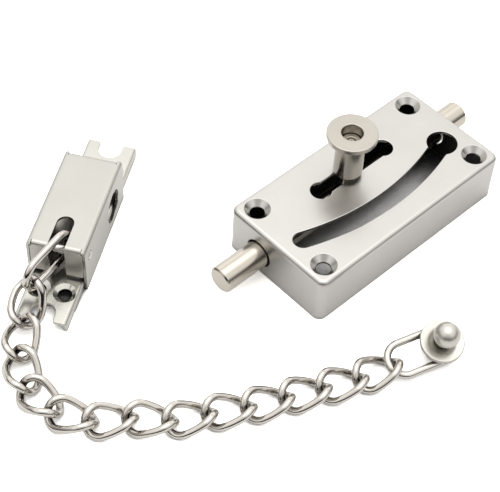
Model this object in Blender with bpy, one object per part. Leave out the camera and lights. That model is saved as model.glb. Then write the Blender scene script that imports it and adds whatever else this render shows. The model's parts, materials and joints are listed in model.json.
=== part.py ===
"""Door chain guard: a sliding bolt in a pressed housing, and a keeper with a chain and a button.

Run with: blender --background --python part.py
Metres, with +Z away from the door and +X along the bolt. The origin is on the back rim of the housing,
in the middle of its long wall beside the arc slot. The keeper and its chain lie beside it, as on a table.
Heights start at the back rim. Lengths and widths start at the middle of the housing, where guard_frame is.
"""

import math

import bmesh
import bpy
from mathutils import Matrix, Vector

# Housing
HOUSING_LENGTH = 0.0800
HOUSING_WIDTH = 0.0410
HOUSING_HEIGHT = 0.0175
HOUSING_WALL = 0.0010
HOUSING_CORNER_RADIUS = 0.0030
HOUSING_EDGE_RADIUS = 0.0018
SCREW_INSET_X = 0.0062
SCREW_INSET_Y = 0.0060
DIMPLE_RADIUS = 0.00425
DIMPLE_HOLE_RADIUS = 0.0023
DIMPLE_DEPTH = 0.0018

# Straight slot over the bolt
BOLT_LINE_Y = 0.0069
SLOT_WIDTH = 0.0050
SLOT_REACH = 0.0138
NOTCH_RADIUS = 0.0034

# Arc slot with its keyhole
ARC_RADIUS = 0.0897
ARC_LOW_Y = -0.0094
ARC_WIDTH = 0.0062
ARC_START_X = -0.0319
KEYHOLE_X = 0.0299
KEYHOLE_RADIUS = 0.00495

# Bolt and knob
BOLT_AXIS_Z = 0.0078
BOLT_RADIUS = 0.0044
BOLT_LENGTH = 0.1080
BOLT_CHAMFER = 0.0008
BOLT_X = -0.0022
BOLT_HOLE_CLEARANCE = 0.0005
STUD_RADIUS = 0.0019
STUD_DEPTH = 0.0022
STUD_HEAD_RADIUS = 0.0031
STUD_HEAD_HEIGHT = 0.0022
STUD_HEAD_SINK = 0.0036
DRIVE_SLOT_WIDTH = 0.0010
DRIVE_SLOT_DEPTH = 0.0009
KNOB_HEIGHT = 0.0181
KNOB_FLANGE_RADIUS = 0.00805
KNOB_FLANGE_HEIGHT = 0.00175
KNOB_BARREL_RADIUS = 0.00465
KNOB_BORE_RADIUS = 0.00355
KNOB_COLLAR_HEIGHT = 0.0012
KNOB_FLOOR = 0.0028
COLLAR_CLEARANCE = 0.00025
SPRING_WIRE_RADIUS = 0.0004
SPRING_TURNS = 5.5

# Keeper, in its own frame: +Y from the slotted end to the far end, +X across
KEEPER_PLACE = (-0.0897, 0.0433, 0.0)
KEEPER_TURN_DEG = -56.4
COVER_WIDTH = 0.0188
COVER_LENGTH = 0.0386
COVER_HEIGHT = 0.0172
COVER_WALL = 0.0010
COVER_CORNER_RADIUS = 0.0005
COVER_EDGE_RADIUS = 0.0009
COVER_SLOT_WIDTH = 0.0053
COVER_SLOT_REACH = 0.0100
FLAP_GAP = 0.0004
FLAP_GAP_TOP = 0.0024
FLAP_LIFT = 0.0012
KEEPER_BOLT_Y = 0.0278
KEEPER_BOLT_CLEARANCE = 0.00105
BASE_SIDE_GAP = 0.00015
BASE_HEIGHT = 0.0038
BASE_WALL = 0.0011
BASE_EDGE_RADIUS = 0.0007
BASE_FRONT_REACH = 0.0171
BASE_BACK_REACH = 0.0185
BASE_NOTCH_RADIUS = 0.0038
BASE_NOTCH_DEPTH = 0.0064
BASE_SCREW_X = 0.0041
BASE_SCREW_REACH = 0.0059
BASE_SCREW_RADIUS = 0.0036
BASE_SCREW_HOLE_RADIUS = 0.0022
PIN_RADIUS = 0.0015
PIN_Y = 0.0042
PIN_Z = 0.0117
PIN_STICKOUT = 0.0004
PIN_CLEARANCE = 0.0001

# Chain
WIRE_RADIUS = 0.0012
LINK_HALF_LENGTH = 0.00725
LINK_HALF_WIDTH = 0.0046
LINK_TWIST_DEG = 50.0
LINK_PLAY = 0.00065
LINK_PITCH = 2 * (LINK_HALF_LENGTH - WIRE_RADIUS) - LINK_PLAY
LINK_REST_Z = 0.00345
# The way each link points in the laid-out curve, and the heights of the joints that hang off the keeper.
CHAIN_HEADINGS_DEG = (-140, -138, -115, -87, -61, -34, -48, -28, -31, -25, -25, -25, -14)
CHAIN_HANGING_Z = (0.0015 + 3 * WIRE_RADIUS, 0.0005 + 3 * WIRE_RADIUS)
KEEPER_LINK_HALF_LENGTH = 0.0105
KEEPER_LINK_HALF_WIDTH = 0.0051
KEEPER_LINK_NEAR_REACH = 0.0037
KEEPER_LINK_YAW_DEG = 19.0
KEEPER_LINK_OFFSET_X = 0.00045
KEEPER_LINK_Z = 0.0132
FIRST_CONTACT_DEG = -37.0
FIRST_CONTACT_SHIFT = 0.00036
FIRST_CONTACT_GAP = 0.00017
END_LINK_HALF_LENGTH = 0.0113
END_LINK_HALF_WIDTH = 0.0051
END_LINK_ROLL_DEG = 16.0
END_LINK_LIFT = WIRE_RADIUS / 3
END_LINK_HEADING_DEG = -17.0

# Button
WASHER_RADIUS = 0.0048
WASHER_HEIGHT = 0.0015
BUTTON_SEAT = 0.0026
BUTTON_SHANK_RADIUS = 0.0032
BUTTON_RIVET_RADIUS = 0.0019
RUNNING_GAP = 0.0003
BUTTON_FLANGE_RADIUS = 0.00685
BUTTON_FLANGE_HEIGHT = 0.0015
BUTTON_DISH_RADIUS = 0.0045
BUTTON_DISH_DEPTH = 0.0009
BUTTON_NECK_RADIUS = 0.0026
BALL_RADIUS = 0.0040
BALL_LIFT = 0.0048

ROUND_STEPS = 48
OVERCUT = 0.002


def finish(name, colour, roughness):
    """A metal finish."""
    material = bpy.data.materials.new(name)
    material.use_nodes = True
    shader = material.node_tree.nodes["Principled BSDF"]
    shader.inputs["Base Color"].default_value = (*colour, 1.0)
    shader.inputs["Roughness"].default_value = roughness
    shader.inputs["Metallic"].default_value = 1.0
    return material


def clear_scene():
    for thing in list(bpy.data.objects):
        bpy.data.objects.remove(thing)


def add_object(name, data, material=None, place=None, parent=None):
    """Links a mesh or curve into the scene, with its place as a matrix."""
    thing = bpy.data.objects.new(name, data)
    bpy.context.scene.collection.objects.link(thing)
    if material and not data.materials:
        data.materials.append(material)
    thing.parent = parent
    thing.matrix_local = place or Matrix()
    return thing


def mesh_from(name, bm):
    """Closes a bmesh into a mesh with its faces outwards, and its round faces smooth."""
    bmesh.ops.recalc_face_normals(bm, faces=bm.faces)
    mesh = bpy.data.meshes.new(name)
    bm.to_mesh(mesh)
    bm.free()
    mesh.shade_smooth()
    mesh.set_sharp_from_angle(angle=math.radians(35))
    return mesh


def arc_points(centre, radius, start, end, steps):
    """Points on a circle, from one angle to another, both in radians."""
    turns = [start + (end - start) * i / steps for i in range(steps + 1)]
    return [(centre[0] + radius * math.cos(t), centre[1] + radius * math.sin(t)) for t in turns]


def rounded_rectangle(length, width, radius, steps=6):
    """The corners of a rectangle centred on the origin, each turned into an arc."""
    inset_x = length / 2 - radius
    inset_y = width / 2 - radius
    points = []
    for quarter, (side_x, side_y) in enumerate(((1, 1), (-1, 1), (-1, -1), (1, -1))):
        start = quarter * math.pi / 2
        centre = (side_x * inset_x, side_y * inset_y)
        points += arc_points(centre, radius, start, start + math.pi / 2, steps)
    return points


def prism(outline, low, high):
    """A bmesh: a closed outline in X and Y, extruded from low to high."""
    bm = bmesh.new()
    base = bm.faces.new([bm.verts.new((x, y, low)) for x, y in outline])
    raised = bmesh.ops.extrude_face_region(bm, geom=[base])["geom"]
    corners = [v for v in raised if isinstance(v, bmesh.types.BMVert)]
    bmesh.ops.translate(bm, verts=corners, vec=(0, 0, high - low))
    return bm


def pressed_form(outline, low, high, edge_radius):
    """A prism whose top edges are rounded over, as on pressed sheet."""
    bm = prism(outline, low, high)
    rim = [e for e in bm.edges if all(abs(v.co.z - high) < 1e-6 for v in e.verts)]
    bmesh.ops.bevel(
        bm, geom=rim, offset=edge_radius, segments=5, profile=0.5, affect="EDGES", clamp_overlap=True
    )
    return bm


def turned(profile, steps=ROUND_STEPS):
    """A bmesh: a profile of (radius, height) points spun round Z. Points off the axis must close."""
    bm = bmesh.new()
    verts = [bm.verts.new((radius, 0, height)) for radius, height in profile]
    edges = [bm.edges.new(pair) for pair in zip(verts, verts[1:])]
    if profile[0][0] > 0:
        edges.append(bm.edges.new((verts[-1], verts[0])))
    bmesh.ops.spin(
        bm, geom=verts + edges, cent=(0, 0, 0), axis=(0, 0, 1), angle=2 * math.pi, steps=steps,
        use_merge=True,
    )
    bmesh.ops.remove_doubles(bm, verts=bm.verts, dist=1e-7)
    return bm


def rod(radius, low, high, chamfer=0.0, steps=ROUND_STEPS):
    """A bmesh: a round bar along Z, with its two ends chamfered."""
    profile = [(0, high), (radius - chamfer, high)]
    if chamfer:
        profile += [(radius, high - chamfer), (radius, low + chamfer)]
    profile += [(radius - chamfer, low), (0, low)]
    return turned(profile, steps)


def cutter(name, bm, place=None, parent=None):
    """A hidden object that a Boolean takes away."""
    tool = add_object(name, mesh_from(name, bm), place=place, parent=parent)
    tool.hide_render = True
    tool.display_type = "WIRE"
    return tool


def combine(thing, operation, tools):
    """Adds one exact Boolean for each tool."""
    for tool in tools:
        modifier = thing.modifiers.new(f"{operation.lower()}_{tool.name}", "BOOLEAN")
        modifier.operation = operation
        modifier.solver = "EXACT"
        modifier.object = tool


def along_x():
    """Turns a shape built along Z to lie along X."""
    return Matrix.Rotation(math.pi / 2, 4, "Y")


def across_keeper(y, z):
    """A place in the keeper for a round hole or pin that runs across it."""
    return Matrix.Translation((0, y, z)) @ along_x()


def box_outline(low_x, high_x, low_y, high_y):
    return [(low_x, low_y), (high_x, low_y), (high_x, high_y), (low_x, high_y)]


def countersink(name, place, radius, hole_radius, depth, parent=None):
    """A cutter: a cone from the face down to the hole, and the hole on through."""
    flare = (radius - hole_radius) * OVERCUT / depth
    profile = [
        (0, OVERCUT), (radius + flare, OVERCUT), (hole_radius, -depth),
        (hole_radius, -depth - OVERCUT), (0, -depth - OVERCUT),
    ]
    return cutter(name, turned(profile, 32), Matrix.Translation(place), parent)


def arc_centre_y():
    return ARC_LOW_Y + ARC_RADIUS


def arc_angle(x):
    """Where the arc slot's centreline has this X, as an angle about the arc's centre."""
    return -math.pi / 2 + math.asin(x / ARC_RADIUS)


def arc_slot_outline():
    """The arc slot, with a round end at its start, running on into the keyhole."""
    centre = (0.0, arc_centre_y())
    start = arc_angle(ARC_START_X)
    end = arc_angle(KEYHOLE_X)
    half = ARC_WIDTH / 2
    outer = arc_points(centre, ARC_RADIUS + half, start, end, 32)
    inner = arc_points(centre, ARC_RADIUS - half, end, start, 32)
    end_point = (ARC_RADIUS * math.cos(start), arc_centre_y() + ARC_RADIUS * math.sin(start))
    cap = arc_points(end_point, half, start - math.pi, start, 10)
    return outer + inner + cap[1:-1]


def make_housing(material):
    """The pressed shell, with its dimples, slots and bolt holes."""
    outline = rounded_rectangle(HOUSING_LENGTH, HOUSING_WIDTH, HOUSING_CORNER_RADIUS)
    shell = pressed_form(outline, 0, HOUSING_HEIGHT, HOUSING_EDGE_RADIUS)
    housing = add_object("bolt_housing", mesh_from("bolt_housing", shell), material)

    inner_length = HOUSING_LENGTH - 2 * HOUSING_WALL
    inner_width = HOUSING_WIDTH - 2 * HOUSING_WALL
    inner_outline = rounded_rectangle(inner_length, inner_width, HOUSING_CORNER_RADIUS - HOUSING_WALL)
    hollow = pressed_form(
        inner_outline, -OVERCUT, HOUSING_HEIGHT - HOUSING_WALL, HOUSING_EDGE_RADIUS - HOUSING_WALL
    )
    combine(housing, "DIFFERENCE", [cutter("cut_hollow", hollow)])

    screw_x = HOUSING_LENGTH / 2 - SCREW_INSET_X
    screw_y = HOUSING_WIDTH / 2 - SCREW_INSET_Y
    corners = [(side_x * screw_x, side_y * screw_y) for side_x in (-1, 1) for side_y in (-1, 1)]
    bosses = []
    sinks = []
    for number, (x, y) in enumerate(corners, start=1):
        profile = [
            (0, -HOUSING_WALL / 2),
            (DIMPLE_RADIUS + HOUSING_WALL * 0.6, -HOUSING_WALL / 2),
            (DIMPLE_HOLE_RADIUS + HOUSING_WALL, -DIMPLE_DEPTH - HOUSING_WALL),
            (0, -DIMPLE_DEPTH - HOUSING_WALL),
        ]
        place = Matrix.Translation((x, y, HOUSING_HEIGHT))
        bosses.append(cutter(f"dimple_{number}", turned(profile, 40), place))
        sinks.append(
            countersink(
                f"cut_dimple_{number}",
                (x, y, HOUSING_HEIGHT),
                DIMPLE_RADIUS,
                DIMPLE_HOLE_RADIUS,
                DIMPLE_DEPTH,
            )
        )
    combine(housing, "UNION", bosses)
    combine(housing, "DIFFERENCE", sinks)

    low = HOUSING_HEIGHT - HOUSING_WALL - OVERCUT
    high = HOUSING_HEIGHT + OVERCUT
    slot = box_outline(-SLOT_REACH, SLOT_REACH, BOLT_LINE_Y - SLOT_WIDTH / 2, BOLT_LINE_Y + SLOT_WIDTH / 2)
    notches = [
        cutter(
            f"cut_notch_{side}",
            rod(NOTCH_RADIUS, low, high, steps=32),
            Matrix.Translation((x, BOLT_LINE_Y, 0)),
        )
        for side, x in (("left", -SLOT_REACH), ("right", SLOT_REACH))
    ]
    keyhole_y = arc_centre_y() + ARC_RADIUS * math.sin(arc_angle(KEYHOLE_X))
    keyhole = rod(KEYHOLE_RADIUS, low, high)
    bolt_hole = rod(BOLT_RADIUS + BOLT_HOLE_CLEARANCE, -HOUSING_LENGTH, HOUSING_LENGTH)
    bolt_line = Matrix.Translation((0, BOLT_LINE_Y, BOLT_AXIS_Z)) @ along_x()
    combine(housing, "DIFFERENCE", [
        cutter("cut_slot", prism(slot, low, high)),
        *notches,
        cutter("cut_arc", prism(arc_slot_outline(), low, high)),
        cutter("cut_keyhole", keyhole, Matrix.Translation((KEYHOLE_X, keyhole_y, 0))),
        cutter("cut_bolt_hole", bolt_hole, bolt_line),
    ])


def make_bolt(material):
    """The round bolt, with the hole that its stud screws into."""
    bar = rod(BOLT_RADIUS, -BOLT_LENGTH / 2, BOLT_LENGTH / 2, BOLT_CHAMFER)
    place = Matrix.Translation((BOLT_X, BOLT_LINE_Y, BOLT_AXIS_Z)) @ along_x()
    bolt = add_object("bolt_rod", mesh_from("bolt_rod", bar), material, place)
    hole_floor = BOLT_AXIS_Z - STUD_DEPTH - RUNNING_GAP
    hole = rod(STUD_RADIUS + RUNNING_GAP, hole_floor, BOLT_AXIS_Z + 2 * BOLT_RADIUS, steps=24)
    over_bolt = Matrix.Translation((BOLT_X, BOLT_LINE_Y, 0))
    combine(bolt, "DIFFERENCE", [cutter("cut_stud_hole", hole, over_bolt)])


def make_knob(satin, polished, spring_steel):
    """The sleeve that the hand lifts, the stud it slides on, and the spring that presses it down."""
    foot = HOUSING_HEIGHT + COLLAR_CLEARANCE
    top = HOUSING_HEIGHT + KNOB_HEIGHT
    shoulder = foot + KNOB_FLOOR
    collar_top = foot + KNOB_COLLAR_HEIGHT
    flange = top - KNOB_FLANGE_HEIGHT
    collar_radius = NOTCH_RADIUS - COLLAR_CLEARANCE
    stud_bore = STUD_RADIUS + RUNNING_GAP
    edge = KNOB_FLANGE_HEIGHT / 5
    place = Matrix.Translation((BOLT_X, BOLT_LINE_Y, 0))
    sleeve = [
        (stud_bore, foot), (stud_bore, shoulder),
        (KNOB_BORE_RADIUS, shoulder), (KNOB_BORE_RADIUS, top - edge),
        (KNOB_BORE_RADIUS + edge, top), (KNOB_FLANGE_RADIUS - edge, top),
        (KNOB_FLANGE_RADIUS, top - edge), (KNOB_FLANGE_RADIUS, flange + edge),
        (KNOB_FLANGE_RADIUS - edge, flange), (KNOB_BARREL_RADIUS, flange),
        (KNOB_BARREL_RADIUS, collar_top + edge), (KNOB_BARREL_RADIUS - edge, collar_top),
        (collar_radius, collar_top), (collar_radius, foot),
    ]
    add_object("knob_sleeve", mesh_from("knob_sleeve", turned(sleeve)), polished, place)

    head_top = top - STUD_HEAD_SINK
    head_foot = head_top - STUD_HEAD_HEIGHT
    stud_profile = [
        (0, head_top), (STUD_HEAD_RADIUS - edge, head_top), (STUD_HEAD_RADIUS, head_top - edge),
        (STUD_HEAD_RADIUS, head_foot), (STUD_RADIUS, head_foot), (STUD_RADIUS, BOLT_AXIS_Z - STUD_DEPTH),
        (0, BOLT_AXIS_Z - STUD_DEPTH),
    ]
    stud = add_object("knob_stud", mesh_from("knob_stud", turned(stud_profile, 32)), satin, place)
    half = DRIVE_SLOT_WIDTH / 2
    reach = STUD_HEAD_RADIUS + OVERCUT
    drive = prism(box_outline(-half, half, -reach, reach), head_top - DRIVE_SLOT_DEPTH, head_top + OVERCUT)
    combine(stud, "DIFFERENCE", [cutter("cut_drive_slot", drive, place)])

    coil_radius = (STUD_RADIUS + KNOB_BORE_RADIUS) / 2
    low = shoulder + SPRING_WIRE_RADIUS + RUNNING_GAP
    high = head_foot - SPRING_WIRE_RADIUS - RUNNING_GAP
    count = round(SPRING_TURNS * 14)
    points = []
    for step in range(count + 1):
        turn = 2 * math.pi * SPRING_TURNS * step / count
        height = low + (high - low) * step / count
        points.append((coil_radius * math.cos(turn), coil_radius * math.sin(turn), height))
    coil = wire_curve("knob_spring", points, SPRING_WIRE_RADIUS, False)
    add_object("knob_spring", coil, spring_steel, place)


def wire_curve(name, points, radius, closed):
    """Round wire along points, as a curve with a bevel."""
    curve = bpy.data.curves.new(name, "CURVE")
    curve.dimensions = "3D"
    curve.bevel_depth = radius
    curve.bevel_resolution = 2
    curve.use_fill_caps = True
    spline = curve.splines.new("POLY")
    spline.points.add(len(points) - 1)
    for target, point in zip(spline.points, points):
        target.co = (*point, 1.0)
    spline.use_cyclic_u = closed
    return curve


def link_points(half_length, half_width, middle, twist):
    """A link's centreline: two half rounds and two sides, twisted about X.

    middle is the X of the link's centre, and twist(share) the twist in radians at a share of its length.
    """
    straight = half_length - half_width
    outline = arc_points((straight, 0), half_width, -math.pi / 2, math.pi / 2, 10)
    outline += [(straight * share, half_width) for share in (0.33, -0.33)]
    outline += arc_points((-straight, 0), half_width, math.pi / 2, 3 * math.pi / 2, 10)
    outline += [(straight * share, -half_width) for share in (-0.33, 0.33)]
    points = []
    for x, y in outline:
        angle = twist(x / (2 * half_length) + 0.5)
        points.append((middle + x, y * math.cos(angle), y * math.sin(angle)))
    return points


def bent_box(name, outline, low, high, edge_radius):
    return mesh_from(name, pressed_form(outline, low, high, edge_radius))


def make_cover(material, frame):
    """The keeper's pressed cover: slotted top and end, bolt holes and pin holes in its sides."""
    half = COVER_WIDTH / 2
    middle = COVER_LENGTH / 2
    to_middle = Matrix.Translation((0, middle, 0))
    outline = rounded_rectangle(COVER_WIDTH, COVER_LENGTH, COVER_CORNER_RADIUS, 3)
    box = bent_box("keeper_cover", outline, 0, COVER_HEIGHT, COVER_EDGE_RADIUS)
    cover = add_object("keeper_cover", box, material, to_middle, frame)
    inner_x = half - COVER_WALL
    inner_y = middle - COVER_WALL
    hollow = pressed_form(
        box_outline(-inner_x, inner_x, -inner_y, inner_y), -OVERCUT, COVER_HEIGHT - COVER_WALL, COVER_WALL / 4
    )
    flap_foot = BASE_HEIGHT + FLAP_LIFT
    flap_edge = inner_x - FLAP_GAP
    below_flaps = prism(
        box_outline(-flap_edge - FLAP_GAP / 2, flap_edge + FLAP_GAP / 2, -OVERCUT, COVER_LENGTH + OVERCUT),
        -OVERCUT, flap_foot,
    )
    slits = []
    for side in (-1, 1):
        for end, y in (("front", 0.0), ("back", COVER_LENGTH)):
            edges = sorted((side * flap_edge, side * (inner_x + FLAP_GAP / 8)))
            slit = prism(
                box_outline(*edges, y - OVERCUT, y + OVERCUT), -OVERCUT, COVER_HEIGHT - FLAP_GAP_TOP
            )
            slits.append(cutter(f"cut_slit_{end}_{'left' if side < 0 else 'right'}", slit, parent=frame))
    slot = box_outline(-COVER_SLOT_WIDTH / 2, COVER_SLOT_WIDTH / 2, -OVERCUT, COVER_SLOT_REACH)
    slot[2:] = arc_points((0, COVER_SLOT_REACH), COVER_SLOT_WIDTH / 2, 0, math.pi, 12)
    bolt_bore = rod(BOLT_RADIUS + KEEPER_BOLT_CLEARANCE, -COVER_WIDTH, COVER_WIDTH)
    pin_bore = rod(PIN_RADIUS + PIN_CLEARANCE, -COVER_WIDTH, COVER_WIDTH, steps=24)
    combine(cover, "DIFFERENCE", [
        cutter("cut_cover_hollow", hollow, to_middle, frame),
        cutter("cut_below_flaps", below_flaps, parent=frame),
        *slits,
        cutter("cut_cover_slot", prism(slot, flap_foot - OVERCUT, COVER_HEIGHT + OVERCUT), parent=frame),
        cutter("cut_keeper_bolt", bolt_bore, across_keeper(KEEPER_BOLT_Y, BOLT_AXIS_Z), frame),
        cutter("cut_pin", pin_bore, across_keeper(PIN_Y, PIN_Z), frame),
    ])


def make_base(material, frame):
    """The keeper's base: a shallow channel with a notch and two screw holes at each end."""
    half = COVER_WIDTH / 2 - COVER_WALL - BASE_SIDE_GAP
    low_y = -BASE_FRONT_REACH
    high_y = COVER_LENGTH + BASE_BACK_REACH
    bm = prism(box_outline(-half, half, low_y, high_y), 0, BASE_HEIGHT)
    shoulders = [
        e for e in bm.edges
        if all(abs(v.co.z - BASE_HEIGHT) < 1e-6 for v in e.verts)
        and abs(e.verts[0].co.x - e.verts[1].co.x) < 1e-6
    ]
    bmesh.ops.bevel(bm, geom=shoulders, offset=BASE_EDGE_RADIUS, segments=4, profile=0.5, affect="EDGES")
    base = add_object("keeper_base", mesh_from("keeper_base", bm), material, parent=frame)

    inner = half - BASE_WALL
    channel = prism(
        box_outline(-inner, inner, low_y - OVERCUT, high_y + OVERCUT), -OVERCUT, BASE_HEIGHT - BASE_WALL
    )
    tools = [cutter("cut_channel", channel, parent=frame)]
    for end, y, way in (("front", low_y, 1), ("back", high_y, -1)):
        floor = y + way * (BASE_NOTCH_DEPTH - BASE_NOTCH_RADIUS)
        notch = arc_points((0, floor), BASE_NOTCH_RADIUS, 0, way * math.pi, 16)
        notch += [(-BASE_NOTCH_RADIUS, y - way * OVERCUT), (BASE_NOTCH_RADIUS, y - way * OVERCUT)]
        tools.append(cutter(f"cut_notch_{end}", prism(notch, -OVERCUT, BASE_HEIGHT + OVERCUT), parent=frame))
        screw_y = -BASE_SCREW_REACH if way > 0 else COVER_LENGTH + BASE_SCREW_REACH
        for side, x in (("left", -BASE_SCREW_X), ("right", BASE_SCREW_X)):
            tools.append(
                countersink(
                    f"cut_screw_{end}_{side}", (x, screw_y, BASE_HEIGHT), BASE_SCREW_RADIUS,
                    BASE_SCREW_HOLE_RADIUS, BASE_WALL * 0.8, frame,
                )
            )
    groove = rod(BOLT_RADIUS + BOLT_HOLE_CLEARANCE / 2, -COVER_WIDTH, COVER_WIDTH)
    tools.append(
        cutter("cut_groove", groove, across_keeper(KEEPER_BOLT_Y, BOLT_AXIS_Z), frame)
    )
    combine(base, "DIFFERENCE", tools)


def make_pin(material, frame):
    """The cross pin, its ends peened outside the cover."""
    reach = COVER_WIDTH / 2 + PIN_STICKOUT
    place = across_keeper(PIN_Y, PIN_Z)
    pin = rod(PIN_RADIUS, -reach, reach, PIN_STICKOUT, 24)
    add_object("keeper_pin", mesh_from("keeper_pin", pin), material, place, frame)


def keeper_place():
    return Matrix.Translation(KEEPER_PLACE) @ Matrix.Rotation(math.radians(KEEPER_TURN_DEG), 4, "Z")


def keeper_link_place():
    """Where the keeper link is in the keeper's frame: its origin on the pin's axis, +X towards its far end.

    Its own Y is up, so that it stands on edge in the slot.
    """
    yaw = math.radians(KEEPER_LINK_YAW_DEG)
    way = Vector((-math.sin(yaw), -math.cos(yaw), 0))
    up = Vector((0, 0, 1))
    side = way.cross(up)
    turn = Matrix((way, up, side)).transposed().to_4x4()
    return Matrix.Translation((KEEPER_LINK_OFFSET_X, PIN_Y, KEEPER_LINK_Z)) @ turn


def make_keeper_link(material, frame):
    """The first link, round the pin. Returns the point where it holds the next one, in the world."""
    middle = KEEPER_LINK_HALF_LENGTH - KEEPER_LINK_NEAR_REACH
    points = link_points(KEEPER_LINK_HALF_LENGTH, KEEPER_LINK_HALF_WIDTH, middle, lambda share: 0.0)
    curve = wire_curve("keeper_link", points, WIRE_RADIUS, True)
    add_object("keeper_link", curve, material, keeper_link_place(), frame)
    contact = math.radians(FIRST_CONTACT_DEG)
    outward = Vector((math.cos(contact), math.sin(contact), 0))
    straight = KEEPER_LINK_HALF_LENGTH - KEEPER_LINK_HALF_WIDTH
    round_centre = Vector((middle + straight, 0, FIRST_CONTACT_SHIFT))
    inside = KEEPER_LINK_HALF_WIDTH - WIRE_RADIUS - FIRST_CONTACT_GAP
    return keeper_place() @ keeper_link_place() @ (round_centre + outward * inside)


def chain_joints(start):
    """The points where each chain link hangs on the one before it, and where the last one ends."""
    heights = list(CHAIN_HANGING_Z) + [LINK_REST_Z] * (len(CHAIN_HEADINGS_DEG) - len(CHAIN_HANGING_Z))
    joints = [start]
    for heading, height in zip(CHAIN_HEADINGS_DEG, heights):
        turn = math.radians(heading)
        fall = height - joints[-1].z
        run = math.sqrt(LINK_PITCH**2 - fall**2)
        joints.append(joints[-1] + Vector((run * math.cos(turn), run * math.sin(turn), fall)))
    return joints


def lie_along(start, end):
    """A place at start with +X towards end and +Y level."""
    way = (end - start).normalized()
    side = Vector((0, 0, 1)).cross(way).normalized()
    up = way.cross(side)
    return Matrix.Translation(start) @ Matrix((way, side, up)).transposed().to_4x4()


def make_chain(material, start):
    """The curb links, each with its origin where it hangs on the one before. Returns the chain's end."""
    twist = math.radians(LINK_TWIST_DEG)
    points = link_points(
        LINK_HALF_LENGTH, LINK_HALF_WIDTH, LINK_PITCH / 2, lambda share: twist * (1 - 2 * share)
    )
    curve = wire_curve("chain_link", points, WIRE_RADIUS, True)
    joints = chain_joints(start)
    for number, (near, far) in enumerate(zip(joints, joints[1:]), start=2):
        add_object(f"chain_link_{number:02d}", curve, material, lie_along(near, far))
    return joints[-1]


def make_end_link(material, start):
    """The long link that carries the button, tipped over onto the washer's rim. Returns the button's place."""
    play = 2 * LINK_HALF_LENGTH - LINK_PITCH
    middle = END_LINK_HALF_LENGTH - play / 2
    points = link_points(END_LINK_HALF_LENGTH, END_LINK_HALF_WIDTH, middle, lambda share: 0.0)
    start = start + Vector((0, 0, END_LINK_LIFT))
    roll = math.radians(END_LINK_ROLL_DEG)
    heading = math.radians(END_LINK_HEADING_DEG)
    reach = middle + END_LINK_HALF_LENGTH - END_LINK_HALF_WIDTH
    rest = BUTTON_SEAT * math.cos(roll) + WASHER_RADIUS * math.sin(roll) + RUNNING_GAP
    level = math.sqrt(reach**2 - (rest - start.z) ** 2)
    over_button = Vector((start.x + level * math.cos(heading), start.y + level * math.sin(heading), rest))
    place = lie_along(start, over_button) @ Matrix.Rotation(roll, 4, "X")
    add_object("end_link", wire_curve("end_link", points, WIRE_RADIUS, True), material, place)
    return place @ Matrix.Translation((reach, 0, -BUTTON_SEAT))


def make_button(polished, satin, place):
    """The turned button, its shank through the end link, and the washer it is riveted over."""
    link_low = BUTTON_SEAT - WIRE_RADIUS
    link_high = BUTTON_SEAT + WIRE_RADIUS
    flange = link_high + RUNNING_GAP
    rim = flange + BUTTON_FLANGE_HEIGHT
    dish = rim - BUTTON_DISH_DEPTH
    washer_top = min(WASHER_HEIGHT, link_low - RUNNING_GAP)
    ball_centre = rim + BALL_LIFT
    neck_angle = -math.acos(BUTTON_NECK_RADIUS / BALL_RADIUS)
    edge = BUTTON_FLANGE_HEIGHT / 4
    profile = [
        (0, RUNNING_GAP), (BUTTON_RIVET_RADIUS, RUNNING_GAP),
        (BUTTON_RIVET_RADIUS, washer_top + RUNNING_GAP),
        (BUTTON_SHANK_RADIUS, washer_top + RUNNING_GAP), (BUTTON_SHANK_RADIUS, flange),
        (BUTTON_FLANGE_RADIUS - edge, flange), (BUTTON_FLANGE_RADIUS, flange + edge),
        (BUTTON_FLANGE_RADIUS, rim - edge), (BUTTON_FLANGE_RADIUS - edge, rim),
        (BUTTON_DISH_RADIUS, rim), (BUTTON_DISH_RADIUS - BUTTON_DISH_DEPTH, dish),
        (BUTTON_NECK_RADIUS, dish),
    ]
    profile += arc_points((0, ball_centre), BALL_RADIUS, neck_angle, math.pi / 2, 12)[:-1]
    profile.append((0, ball_centre + BALL_RADIUS))
    add_object("chain_button", mesh_from("chain_button", turned(profile)), polished, place)

    hole = BUTTON_RIVET_RADIUS + RUNNING_GAP
    ring = [(hole, 0), (WASHER_RADIUS, 0), (WASHER_RADIUS, washer_top), (hole, washer_top)]
    add_object("button_washer", mesh_from("button_washer", turned(ring)), satin, place)


def place_on_rim():
    """Moves everything so that the origin is on the rim of the housing's long wall."""
    loose = [thing for thing in bpy.data.objects if thing.parent is None]
    guard = bpy.data.objects.new("guard_frame", None)
    bpy.context.scene.collection.objects.link(guard)
    guard.location = (0, HOUSING_WIDTH / 2 - HOUSING_WALL / 2, 0)
    for thing in loose:
        thing.parent = guard


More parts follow.
